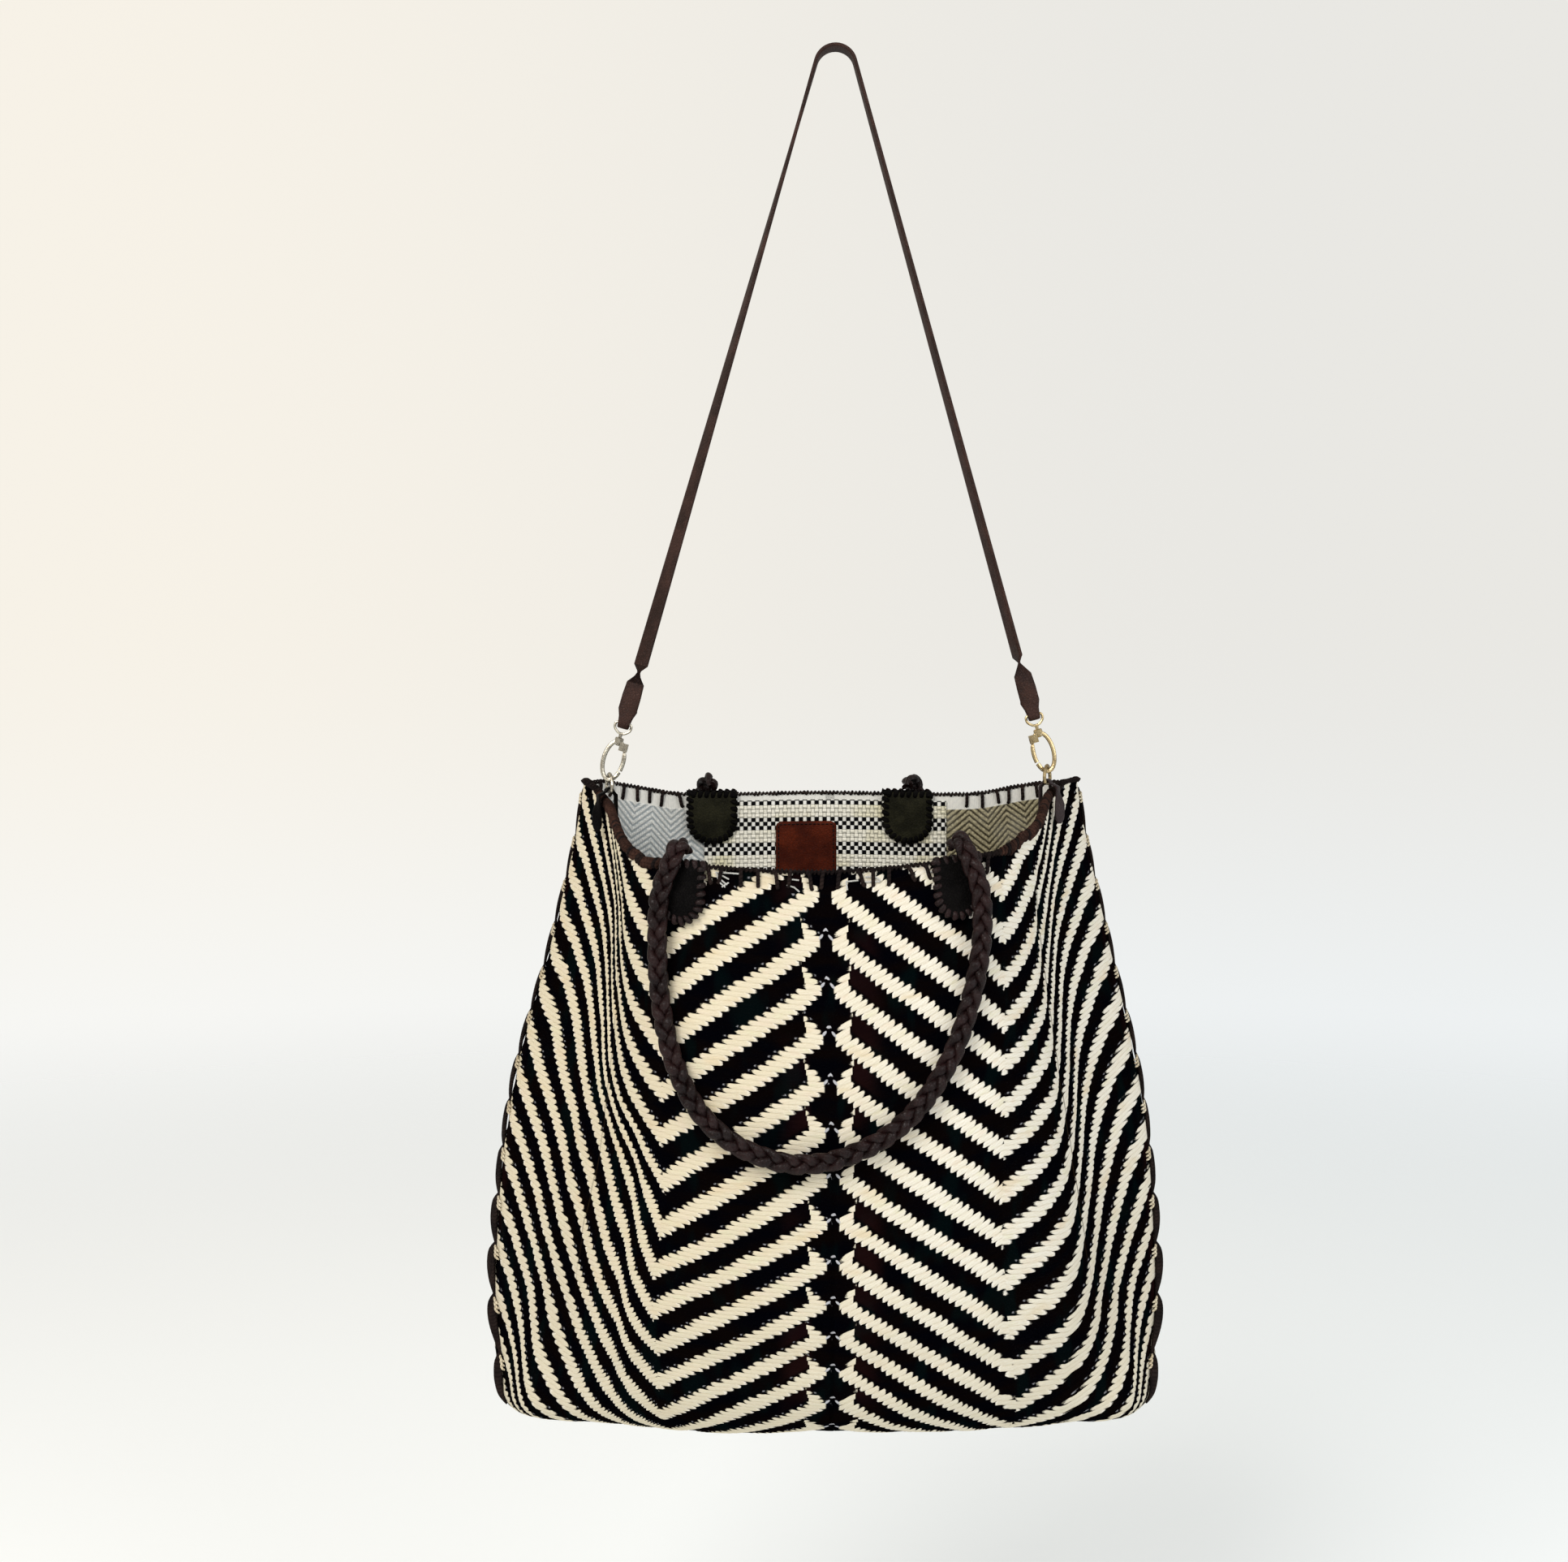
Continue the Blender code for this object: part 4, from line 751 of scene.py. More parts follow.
def pocket_look():
    """Basket weave in cream with rows of black and white checks."""
    look = Look("checked_pocket")
    across, down = look.uv()
    cell = 3.0
    column = (across * (1 / cell)).floor()
    line = (down * (1 / cell)).floor()
    over = look.math("MODULO", abs(column + line), 2.0)
    in_column = (across * (1 / cell)).fract()
    in_line = (down * (1 / cell)).fract()
    bulge_across = 1.0 - abs(in_column * 2.0 - 1.0) ** 2.0
    bulge_down = 1.0 - abs(in_line * 2.0 - 1.0) ** 2.0
    bulge = look.pick(over, bulge_across, bulge_down)
    cycle = look.math("MODULO", line, 6.0)
    checked = abs(cycle - 1.0) < 1.1
    dark = checked * over
    chance = look.chance(look.vector(column, line))
    broad = look.flat_noise(across * 0.03, down * 0.03, 3.0)
    cream = look.mix(look.ramp(broad, 0.4, 0.65), (0.88, 0.85, 0.75), (0.76, 0.71, 0.50))
    cream = look.mix(checked * 0.8, cream, (0.86, 0.86, 0.84))
    cream = look.mix(chance * 0.25, cream, (0.56, 0.53, 0.4))
    # Painted shade between the woven strands, where each bulge falls away
    cream = look.mix(look.ramp(bulge, 0.55, 0.0) * 0.95, cream, (0.07, 0.065, 0.035))
    colour = look.mix(dark, cream, (0.003, 0.003, 0.004))
    fibre = look.flat_noise(across * 1.1, down * 1.1, 3.0, 0.7)
    look.bump(bulge + fibre * 0.4, distance=0.0007)
    return look.finish(base_color=colour, roughness=0.95, specular_ior_level=0.03)


WOOL = wool_look()
DARK_YARN = yarn_look("dark_yarn", (0.010, 0.007, 0.007), (0.022, 0.014, 0.012))
BROWN_YARN = yarn_look("brown_yarn", (0.026, 0.013, 0.010), (0.060, 0.028, 0.020))
CREAM_YARN = yarn_look("cream_yarn", (0.60, 0.50, 0.34), (0.76, 0.68, 0.52))
WHITE_THREAD = yarn_look("white_thread", (0.60, 0.59, 0.55), (0.80, 0.79, 0.75), 0.9)
PINK_THREAD = yarn_look("pink_thread", (0.42, 0.06, 0.10), (0.60, 0.14, 0.18), 1.2)
LINING_CLOTH = lining_look()
POCKET_CLOTH = pocket_look()
BRAID_LEATHER = leather_look(
    "braid_leather", (0.0060, 0.0021, 0.0020), (0.019, 0.0072, 0.0070), (0.06, 0.028, 0.026),
    roughness=0.34, specular=0.17,
)
OUTER_TONGUE_SKIN = leather_look(
    "outer_tongue_leather", (0.0012, 0.0010, 0.0010), (0.0036, 0.0030, 0.0030), (0.014, 0.011, 0.010),
    roughness=0.5, specular=0.03,
)
INNER_TONGUE_SKIN = leather_look(
    "inner_tongue_leather", (0.0060, 0.0058, 0.0026), (0.020, 0.019, 0.0095), (0.045, 0.041, 0.022),
    roughness=0.5, specular=0.06,
)
STRAP_LEATHER = leather_look(
    "strap_leather", (0.020, 0.0085, 0.006), (0.042, 0.018, 0.013), (0.12, 0.065, 0.05),
)
TAB_LEATHER_LOOK = leather_look(
    "tab_leather", (0.022, 0.014, 0.015), (0.040, 0.027, 0.028), (0.12, 0.09, 0.09),
)
LABEL_SKIN = leather_look(
    "label_leather", (0.040, 0.0050, 0.0015), (0.085, 0.0125, 0.0038), (0.11, 0.020, 0.007),
    roughness=0.5, specular=0.06,
)
BRASS = metal_look("aged_brass", (0.60, 0.47, 0.26), (0.40, 0.30, 0.16), (0.15, 0.11, 0.06))
NICKEL = metal_look("worn_nickel", (0.60, 0.56, 0.46), (0.40, 0.36, 0.29), (0.16, 0.13, 0.10))


# Meshes

def make_mesh(name, points, faces, uvs, look, body, stripes=None, sharp=False):
    """An object from points in millimetres, with one UV pair for each point."""
    mesh = bpy.data.meshes.new(name)
    mesh.from_pydata((points * MM).tolist(), [], faces)
    loops = np.empty(len(mesh.loops), int)
    mesh.loops.foreach_get("vertex_index", loops)
    layers = {"cloth": uvs * MM}
    if stripes is not None:
        layers["stripes"] = stripes * (STRIPE_UNIT, MM)
    for layer, places in layers.items():
        mesh.uv_layers.new(name=layer).data.foreach_set("uv", places[loops].ravel())
    mesh.materials.append(look)
    mesh.shade_smooth()
    if sharp:
        mesh.set_sharp_from_angle(angle=math.radians(60))
    mesh.update()
    made = bpy.data.objects.new(name, mesh)
    bpy.context.scene.collection.objects.link(made)
    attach(made, body)
    return made


def grid_faces(rows, columns, closed=False):
    """Quads of a grid of points in rows."""
    across = columns if closed else columns - 1
    row, column = np.meshgrid(np.arange(rows - 1), np.arange(across), indexing="ij")
    after = (column + 1) % columns
    quads = np.stack((
        row * columns + column, row * columns + after,
        (row + 1) * columns + after, (row + 1) * columns + column,
    ), axis=-1)
    return quads.reshape(-1, 4)


class Parts:
    """Gathers tubes and patches into one mesh."""

    def __init__(self):
        self.points, self.faces, self.uvs, self.count = [], [], [], 0

    def add(self, points, faces, uvs):
        points = np.asarray(points, float).reshape(-1, 3)
        self.points.append(points)
        self.faces.extend([tuple(int(index) + self.count for index in face) for face in faces])
        self.uvs.append(np.asarray(uvs, float).reshape(-1, 2))
        self.count += len(points)

    def make(self, name, look, body):
        points, uvs = np.concatenate(self.points), np.concatenate(self.uvs)
        return make_mesh(name, points, self.faces, uvs, look, body, sharp=True)


def tube_faces(rows, sides, closed=False):
    """Quads between the rings of a tube."""
    faces = []
    for row in range(rows if closed else rows - 1):
        low, high = row * sides, (row + 1) % rows * sides
        for side in range(sides):
            after = (side + 1) % sides
            faces.append((low + side, high + side, high + after, low + after))
    return faces


def unit(vectors):
    return vectors / np.maximum(np.linalg.norm(vectors, axis=-1, keepdims=True), 1e-12)


def directions(path):
    """Unit directions along a path."""
    return unit(np.gradient(path, axis=0))


def carried(path, guide, start=0):
    """Directions along a path, and normals that follow it without twisting."""
    along = directions(path)
    normals = np.zeros_like(path)
    first = guide - along[start] * np.dot(guide, along[start])
    normals[start] = first / np.linalg.norm(first)
    for index in range(start + 1, len(path)):
        turned = normals[index - 1] - along[index] * np.dot(normals[index - 1], along[index])
        normals[index] = turned / np.linalg.norm(turned)
    for index in range(start - 1, -1, -1):
        turned = normals[index + 1] - along[index] * np.dot(normals[index + 1], along[index])
        normals[index] = turned / np.linalg.norm(turned)
    return along, normals


def sweep(parts, path, normals, half_width, half_thick, sides=8, power=1.0):
    """Adds a tube of oval section; normals point along its thickness."""
    count = len(path)
    along = directions(path)
    across = np.cross(along, normals)
    angle = 2 * np.pi * np.arange(sides) / sides
    wide = np.sign(np.cos(angle)) * np.abs(np.cos(angle)) ** power
    high = np.sign(np.sin(angle)) * np.abs(np.sin(angle)) ** power
    half_width = np.broadcast_to(half_width, (count,))
    half_thick = np.broadcast_to(half_thick, (count,))
    ring = (
        path[:, None] + across[:, None] * (half_width[:, None] * wide)[..., None]
        + normals[:, None] * (half_thick[:, None] * high)[..., None]
    )
    lengths = travelled(path)
    uv = np.stack(np.broadcast_arrays(lengths[:, None], np.arange(sides)[None] * 500.0 / sides), axis=-1)
    faces = tube_faces(count, sides)
    faces.append(tuple(range(sides)))
    faces.append(tuple(reversed(range((count - 1) * sides, count * sides))))
    parts.add(ring.reshape(-1, 3), faces, uv.reshape(-1, 2))


def spline(corners, steps):
    """Evenly spaced samples of a smooth curve through corners."""
    corners = np.asarray(corners, float)
    position = np.arange((len(corners) - 1) * steps + 1) / steps
    return np.stack([smooth_values(corners[:, axis], position) for axis in range(3)], axis=1)


def even_path(path, step):
    """The same path with evenly spaced points, and the distances along it."""
    lengths = travelled(path)
    count = max(2, int(round(lengths[-1] / step)) + 1)
    at = np.linspace(0, lengths[-1], count)
    return np.stack([np.interp(at, lengths, path[:, axis]) for axis in range(3)], axis=1), at


# The woven cloth

def along_line(line, down):
    """Stripes passed at distances down one line, carried on past its ends."""
    downs, counts = line
    inside = np.interp(down, downs, counts)
    before = np.minimum(down - downs[0], 0) / PERIOD
    after = np.maximum(down - downs[-1], 0) / PERIOD
    return inside + before + after


def climb(high, low, spread, down, start, end):
    """Share of the way up from valley to seam, changing between two heights."""
    share = np.clip((down - start) / (end - start), 0, 1)
    share = share * share * (3 - 2 * share)
    return np.interp(spread, *high) * (1 - share) + np.interp(spread, *low) * share


def stripes_passed(across, down):
    """Number of stripes from the start of the pattern to each place."""
    spread = np.abs(across)
    left = across < 0
    centre = along_line(CENTRE_STRIPES, down)
    valley = np.where(left, along_line(LEFT_VALLEY_STRIPES, down), along_line(RIGHT_VALLEY_STRIPES, down))
    seam = np.where(left, along_line(LEFT_SEAM_STRIPES, down), along_line(RIGHT_SEAM_STRIPES, down))
    climbed = np.where(
        left,
        climb(LEFT_CLIMB_HIGH, LEFT_CLIMB_LOW, spread, down, *LEFT_CLIMB_CHANGE),
        climb(RIGHT_CLIMB_HIGH, RIGHT_CLIMB_LOW, spread, down, *RIGHT_CLIMB_CHANGE),
    )
    inner = centre + (valley - centre) * np.clip(spread / VALLEY_AT, 0, 1)
    outer = valley + (seam - valley) * climbed
    rear_centre = down / PERIOD
    rear_valley = rear_centre - VALLEY_AT * STRIPE_SLOPE / PERIOD
    near_seam = np.clip((spread - SIDE_AT) / (REAR_AT - VALLEY_AT - SIDE_AT), 0, 1)
    near_centre = np.clip((spread - REAR_AT + VALLEY_AT) / VALLEY_AT, 0, 1)
    behind = seam + (rear_valley - seam) * near_seam + (rear_centre - rear_valley) * near_centre
    front = np.where(spread < VALLEY_AT, inner, outer)
    return np.where(spread > SIDE_AT, behind, front)


def pattern_place(across, down):
    """Place in the pattern, whose centre and valleys wander over the cloth."""
    centre = np.interp(down, *CENTRE_PLACES)
    side = np.where(across < centre, -1.0, 1.0)
    valley = np.where(side < 0, np.interp(down, *LEFT_VALLEY_PLACES), np.interp(down, *RIGHT_VALLEY_PLACES))
    reach, span = side * (across - centre), valley - side * centre
    outer = VALLEY_AT + (side * across - valley) * (SIDE_AT - VALLEY_AT) / (SIDE_AT - valley)
    placed = side * np.where(reach < span, reach / span * VALLEY_AT, outer)
    return np.where(np.abs(across) < SIDE_AT, placed, across)


def stripe_share(passed):
    """How far each place lies inside a cream stripe, 0 to 1."""
    share = (passed - STRIPE_START) % 1.0
    width = STRIPE_END - STRIPE_START
    inside = np.minimum(share, width - share) * PERIOD
    return np.clip(inside / STRIPE_SHOULDER + 0.5, 0, 1)


def row_distance(column, down, x):
    """Distance across the rows of floats, which lean and thin out at the lower left."""
    level = down - rim_height(column) + LEVEL_Z[0]
    thinner = np.clip((level - THIN_FROM) / THIN_OVER, 0, 1)
    squeezed = THINNING * (THIN_OVER / 2 * thinner ** 2 + np.maximum(level - THIN_FROM - THIN_OVER, 0))
    left = np.clip((x - THIN_LEFT) / (THIN_RIGHT - THIN_LEFT), 0, 1) * (x < BAG_SHIFT)
    return level + np.interp(x, *ROW_LEAN) + squeezed * left


def hand_wave(across, down):
    """Slow unevenness of handwoven cloth."""
    return (
        0.7 * np.sin(across / 23.0 + 0.9) * np.sin(down / 31.0 + across / 60.0)
        + 0.4 * np.sin(across / 11.0 + down / 17.0 + 2.0)
    )


def base_spine(edge):
    """Points along the middle of the base, one for each point of its edge."""
    x = np.clip(edge[:, 0], SPINE_LEFT, SPINE_RIGHT)
    return np.stack((x, np.full(len(edge), SPINE_Y), edge[:, 2]), axis=1)


def woven_panel(name, start, end):
    """One half of the cloth wall, from one side seam to the other."""
    columns = int((end - start) / CLOTH_CELL) + 1
    across = np.linspace(start, end, columns)
    signed = np.where(across > REAR_AT, across - AROUND, across)
    column = column_at(signed)
    share = np.linspace(0, 1, int(CLOTH_DROP / CLOTH_CELL))
    lengths = cloth_length(column)
    down = share[:, None] * lengths[None]
    signed = np.broadcast_to(signed[None], down.shape)
    placed = pattern_place(signed, down)
    passed = stripes_passed(placed, down)
    fade = np.clip(down / 12.0, 0, 1) * np.clip((lengths[None] - down) / 25.0, 0, 1)
    offset = (RIDGE * 0.7 * stripe_share(passed) + hand_wave(signed, down) * 0.6) * fade
    points = cloth(np.broadcast_to(column[None], down.shape), lifted(column[None], down), offset)
    placed = placed - signed + across[None]
    uv = np.stack((placed, down), axis=-1)
    lines = row_distance(np.broadcast_to(column[None], down.shape), down, points[..., 0])
    last, last_down = points[-1], down[-1]
    rows, uvs, counts = [points], [uv], [np.stack((passed, lines), axis=-1)]
    spine = base_spine(last)
    for step in range(1, BASE_ROWS + 1):
        part = step / BASE_ROWS
        ring = last + (spine - last) * part
        ring[:, 2] += BASE_SAG * np.sin(math.pi * part * 0.5)
        run = np.linalg.norm(ring - last, axis=1)
        rows.append(ring[None])
        uvs.append(np.stack((placed[-1], last_down + run), axis=-1)[None])
        counts.append(np.stack((passed[-1] + run / PERIOD, lines[-1] + run), axis=-1)[None])
    points, uv = np.concatenate(rows), np.concatenate(uvs)
    faces = grid_faces(len(points), columns)[:, ::-1].tolist()
    return make_mesh(
        name, points.reshape(-1, 3), faces, uv.reshape(-1, 2), WOOL, "root",
        stripes=np.concatenate(counts).reshape(-1, 2),
    )


front_cloth = woven_panel("woven_front", -SIDE_AT, SIDE_AT)
rear_cloth = woven_panel("woven_rear", SIDE_AT, AROUND - SIDE_AT)
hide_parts("woven_shell")
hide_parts("woven_shell")


def make_lining():
    """The herringbone cloth inside the wall and over the base."""
    column = np.linspace(0, COLUMNS, LINING_COLUMNS, endpoint=False)
    share = np.linspace(0, 1, LINING_ROWS)
    down = share[:, None] * cloth_length(column)[None]
    places = np.broadcast_to(column[None], down.shape)
    reach = LINING_FACE - LINING / 2 + 1.3 * np.clip(1 - down / 8.0, 0, 1)
    points = cloth(places, lifted(places, down), reach)
    row = points[LINING_MEASURED_ROW]
    run = travelled(row)
    around = run[-1] + np.linalg.norm(row[0] - row[-1])
    signed = np.where(run > around / 2, run - around, run)
    last = points[-1]
    rows, uvs = [points], [np.stack((np.broadcast_to(signed[None], down.shape), down), axis=-1)]
    spine = base_spine(last)
    for step in range(1, LINING_BASE_ROWS + 1):
        ring = last + (spine - last) * (step / LINING_BASE_ROWS)
        rows.append(ring[None])
        run = np.linalg.norm(ring - last, axis=1)
        uvs.append(np.stack((signed, down[-1] + run), axis=-1)[None])
    points, uv = np.concatenate(rows), np.concatenate(uvs)
    faces = grid_faces(len(points), LINING_COLUMNS, closed=True).tolist()
    made = make_mesh(
        "herringbone_lining", points.reshape(-1, 3), faces, uv.reshape(-1, 2), LINING_CLOTH, "root",
    )
    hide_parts("lining")


make_lining()


def patch(
    parts, middle, half_width, top, bottom, offset, thickness, step, rounded=0.0, corner=0.0, puff=0.0,
):
    """A piece of leather or cloth on the wall: middle and half_width in mm across.

    Its boundary comes back as places across and down, clockwise from the top left.
    """
    width, height = 2 * half_width, bottom - top
    columns, rows = int(width / step) + 1, int(height / step) + 1
    a = np.linspace(-1, 1, columns)
    b = np.linspace(0, 1, rows)
    narrow = np.ones(rows)
    if rounded:
        beyond = np.clip((b - (1 - rounded)) / rounded, 0, 1)
        narrow = np.sqrt(np.maximum(1 - beyond ** 2, 0.02))
    if corner:
        near_end = np.minimum(b * height, (1 - b) * height)
        cut = np.clip(1 - near_end / corner, 0, 1)
        narrow = 1 - (1 - np.sqrt(np.maximum(1 - cut ** 2, 0))) * corner / half_width
    across = middle + half_width * a[None] * narrow[:, None]
    down = np.broadcast_to((top + height * b)[:, None], across.shape)
    from_edge = np.minimum(
        (1 - np.abs(a))[None] * half_width * narrow[:, None],
        np.minimum(b * height, (1 - b) * height)[:, None],
    )
    roll = np.sqrt(np.clip(from_edge / abs(thickness), 0, 1))
    crown = np.sign(thickness) * puff * np.clip(from_edge / 6, 0, 1)
    face = offset + thickness * (0.35 + 0.65 * roll) + crown
    back = np.full(across.shape, offset)
    outer = cloth(signed_column(across), down, face)
    inner = cloth(signed_column(across), down, back)
    uv = np.stack((across, down), axis=-1)
    count = rows * columns
    faces = grid_faces(rows, columns)
    if thickness > 0:
        faces = faces[:, ::-1]
    faces = [tuple(face) for face in faces]
    faces += [tuple(index + count for index in reversed(face)) for face in faces]
    edge = [(0, column) for column in range(columns)]
    edge += [(row, columns - 1) for row in range(1, rows)]
    edge += [(rows - 1, column) for column in range(columns - 2, -1, -1)]
    edge += [(row, 0) for row in range(rows - 2, 0, -1)]
    index = [row * columns + column for row, column in edge]
    for place, start in enumerate(index):
        end = index[(place + 1) % len(index)]
        quad = (start, end, end + count, start + count)
        faces.append(quad if thickness > 0 else quad[::-1])
    points = np.concatenate((outer.reshape(-1, 3), inner.reshape(-1, 3)))
    parts.add(points, faces, np.concatenate((uv.reshape(-1, 2),) * 2))
    return np.array([(across[place], down[place]) for place in edge])


def signed_column(across):
    """Column at a place across that may run past the rear centre."""
    across = np.asarray(across, float)
    folded = np.where(np.abs(across) > REAR_AT, across - AROUND * np.sign(across), across)
    return column_at(folded)


def whip(parts, boundary, centre, face, floor):
    """Short stitches over an edge, from inside it to just beyond it."""
    closed = np.vstack((boundary, boundary[:1]))
    lengths = travelled(closed)
    count = int(lengths[-1] / WHIP_SPACING)
    for number in range(count):
        at = lengths[-1] * (number + 0.5) / count
        place = np.array([np.interp(at, lengths, closed[:, axis]) for axis in (0, 1)])
        ahead = np.array([np.interp((at + 1.0) % lengths[-1], lengths, closed[:, axis]) for axis in (0, 1)])
        run = ahead - place
        run /= max(np.linalg.norm(run), 1e-6)
        inward = np.array((-run[1], run[0]))
        if np.dot(inward, centre - place) < 0:
            inward = -inward
        slant = run * WHIP_SPACING * 0.28
        stations = (
            (WHIP_REACH, face - 0.35),
            (WHIP_REACH * 0.6, face + 0.35),
            (0.1, face * 0.75 + floor * 0.25 + 0.35),
            (-WHIP_BEYOND * 0.75, floor + 0.2),
            (-WHIP_BEYOND, floor - 0.5),
        )
        side = 1.0 if face > floor else -1.0
        path = []
        for order, (inside, lift) in enumerate(stations):
            spot = place + inward * inside + slant * (1 - order / 2)
            if side < 0:
                lift = face + (face - lift) if order in (0, 1) else lift - 0.7
            path.append(cloth_point(signed_column(spot[0]), spot[1], lift))
        path = spline(path, 3)
        _, normals = carried(path, np.array((0.13, -0.9, 0.35)))
        taper = np.sin(np.linspace(0.18, 1, len(path)) * math.pi * 0.86) ** 0.5
        sweep(parts, path, normals, WHIP_RADIUS * taper, WHIP_RADIUS * 0.45 * taper, sides=8)


# Pocket, label and tongues

def make_pocket():
    """The checked panel sewn under the rear edging."""
    parts = Parts()
    patch(
        parts, REAR_AT, POCKET_HALF_WIDTH * REAR_SCALE, EDGING_SKIRT + FIT_GAP, POCKET_LENGTH,
        POCKET_FACE, -POCKET, step=4.0,
    )
    made = parts.make("checked_pocket", POCKET_CLOTH, "root")
    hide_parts("inner_pocket")


make_pocket()


def run_in(parts, middle, start, end, reach, radius):
    """One straight stitch that lies on the wall."""
    places = np.linspace(start, end, 4)
    lift = np.array((0.3, -0.1, -0.1, 0.3))
    path = cloth(signed_column(middle + places[:, 0]), places[:, 1], reach + lift)
    _, normals = carried(path, np.array((0.1, -0.99, 0.05)))
    sweep(parts, path, normals, radius, radius * 0.8, sides=6)


def make_threads(name, look, reach, radius, stitches):
    """Loose stitches: where each starts, across and down, and how far it runs."""
    thread = Parts()
    for across, down, width, drop in stitches:
        start = np.array((across, down))
        run_in(thread, 0.0, start, start + (width, drop), reach, radius)
    thread.make(name, look, "root")


# Pink stitches in the lining, and short ends of white thread under the front edging
make_threads("pink_stitches", PINK_THREAD, LINING_FACE - LINING - 0.4, 0.55, (
    (-259.0, 24.0, 5.0, 3.0), (-254.0, 29.0, -3.5, 4.0), (-262.0, 31.0, 4.0, -2.5),
    (-257.0, 42.0, 6.0, 1.0), (-251.0, 52.0, 4.5, 2.0),
))
make_threads("white_threads", WHITE_THREAD, RIDGE + 0.4, 0.5, (
    (-70.0, 3.4, 15.0, -0.2), (-69.0, 4.0, 1.5, 5.0), (-67.5, 9.0, 4.0, 3.0), (-66.0, 5.0, 4.5, 2.0),
    (-68.0, 6.5, 5.5, 4.0), (-65.5, 12.0, 4.0, -3.0), (-24.4, 5.1, 4.1, 0.4), (-27.5, 8.6, 4.5, 1.4),
    (-23.5, 9.6, 3.5, 3.0), (8.7, 6.8, 7.7, -0.4), (9.0, 7.0, 0.6, 5.0), (20.5, 4.6, 5.0, 0.3),
    (20.5, 7.6, 8.5, 0.6), (26.5, 5.0, 3.0, 2.8), (56.0, 5.5, 6.5, 0.4),
))


def make_label():
    """The bare leather patch on the pocket, and its line of stitches."""
    parts = Parts()
    middle = REAR_AT - LABEL_CENTRE * REAR_SCALE
    patch(
        parts, middle, LABEL_WIDTH / 2 * REAR_SCALE, LABEL_DROP, LABEL_DROP + LABEL_HEIGHT,
        LABEL_FACE, -LABEL, corner=4.0, step=1.2, puff=0.3,
    )
    made = parts.make("bare_label", LABEL_SKIN, "root")
    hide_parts("label_patch")
    thread = Parts()
    half = LABEL_WIDTH / 2 * REAR_SCALE - LABEL_SEAM_INSET
    top, bottom = LABEL_DROP + LABEL_SEAM_INSET, LABEL_DROP + LABEL_HEIGHT - LABEL_SEAM_INSET
    corners = np.array(((-half, top), (half, top), (half, bottom), (-half, bottom)))
    for start, end in zip(corners, np.roll(corners, -1, axis=0)):
        count = int(np.linalg.norm(end - start) / LABEL_STITCH)
        for stitch in range(count):
            run_in(
                thread, middle, start + (end - start) * (stitch + 0.18) / count,
                start + (end - start) * (stitch + 0.82) / count, LABEL_FACE - LABEL - 0.35, 0.38,
            )
    thread.make("label_stitching", DARK_YARN, "root")


make_label()

REAR_TONGUE_ACROSS = REAR_TONGUE_HALF_WIDTH * REAR_SCALE
TONGUES = (
    ("front_right", HANDLE_SHIFT[-1] + FRONT_HANDLE_AT, FRONT_TONGUE_HALF_WIDTH),
    ("front_left", HANDLE_SHIFT[-1] - FRONT_HANDLE_AT, FRONT_TONGUE_HALF_WIDTH),
    ("rear_right", REAR_AT - (REAR_HANDLE_AT + HANDLE_SHIFT[1]) * REAR_SCALE, REAR_TONGUE_ACROSS),
    ("rear_left", (REAR_HANDLE_AT - HANDLE_SHIFT[1]) * REAR_SCALE - REAR_AT, REAR_TONGUE_ACROSS),
)


def make_tongues():
    """Leather at each handle end, outside and inside, with whipped edges."""
    for label, middle, half in TONGUES:
        for layer, offset, thickness, top in (
            ("outer", OUTER_TONGUE, TONGUE_LEATHER, -OUTER_TONGUE_RISE),
            ("inner", INNER_TONGUE, -TONGUE_LEATHER, -INNER_TONGUE_RISE),
        ):
            parts = Parts()
            boundary = patch(
                parts, middle, half, top, TONGUE_LENGTH, offset, thickness, rounded=0.42, step=1.5, puff=0.4,
            )
            leather = OUTER_TONGUE_SKIN if layer == "outer" else INNER_TONGUE_SKIN
            skin = parts.make(f"tongue_{layer}_{label}_skin", leather, "root")
            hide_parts(f"tongue_{layer}_{label}")
            thread = Parts()
            centre = np.array((middle, TONGUE_LENGTH * 0.45))
            whip(thread, boundary, centre, offset + thickness, offset - 0.2)
            thong = BRAID_LEATHER if layer == "outer" else OUTER_TONGUE_SKIN
            thread.make(f"tongue_{layer}_{label}_whipping", thong, "root")


make_tongues()


# Rim edging

def place_along(values):
    """Columns at shares of the way round the rim, and the rim's length."""
    fine = np.linspace(0, COLUMNS, 2801)
    points = cloth(fine, np.zeros_like(fine), np.zeros_like(fine))
    lengths = travelled(points)
    return np.interp(np.asarray(values) * lengths[-1], lengths, fine), lengths[-1]


def broad_edging(column):
    """1 on the gussets, where the yarn is wrapped broadly, and 0 elsewhere."""
    column = np.asarray(column, float)
    from_gusset = np.minimum(np.abs(column - 2.15), np.abs(column - COLUMNS + 2.15))
    return np.clip((1.15 - from_gusset) / 0.3, 0, 1)


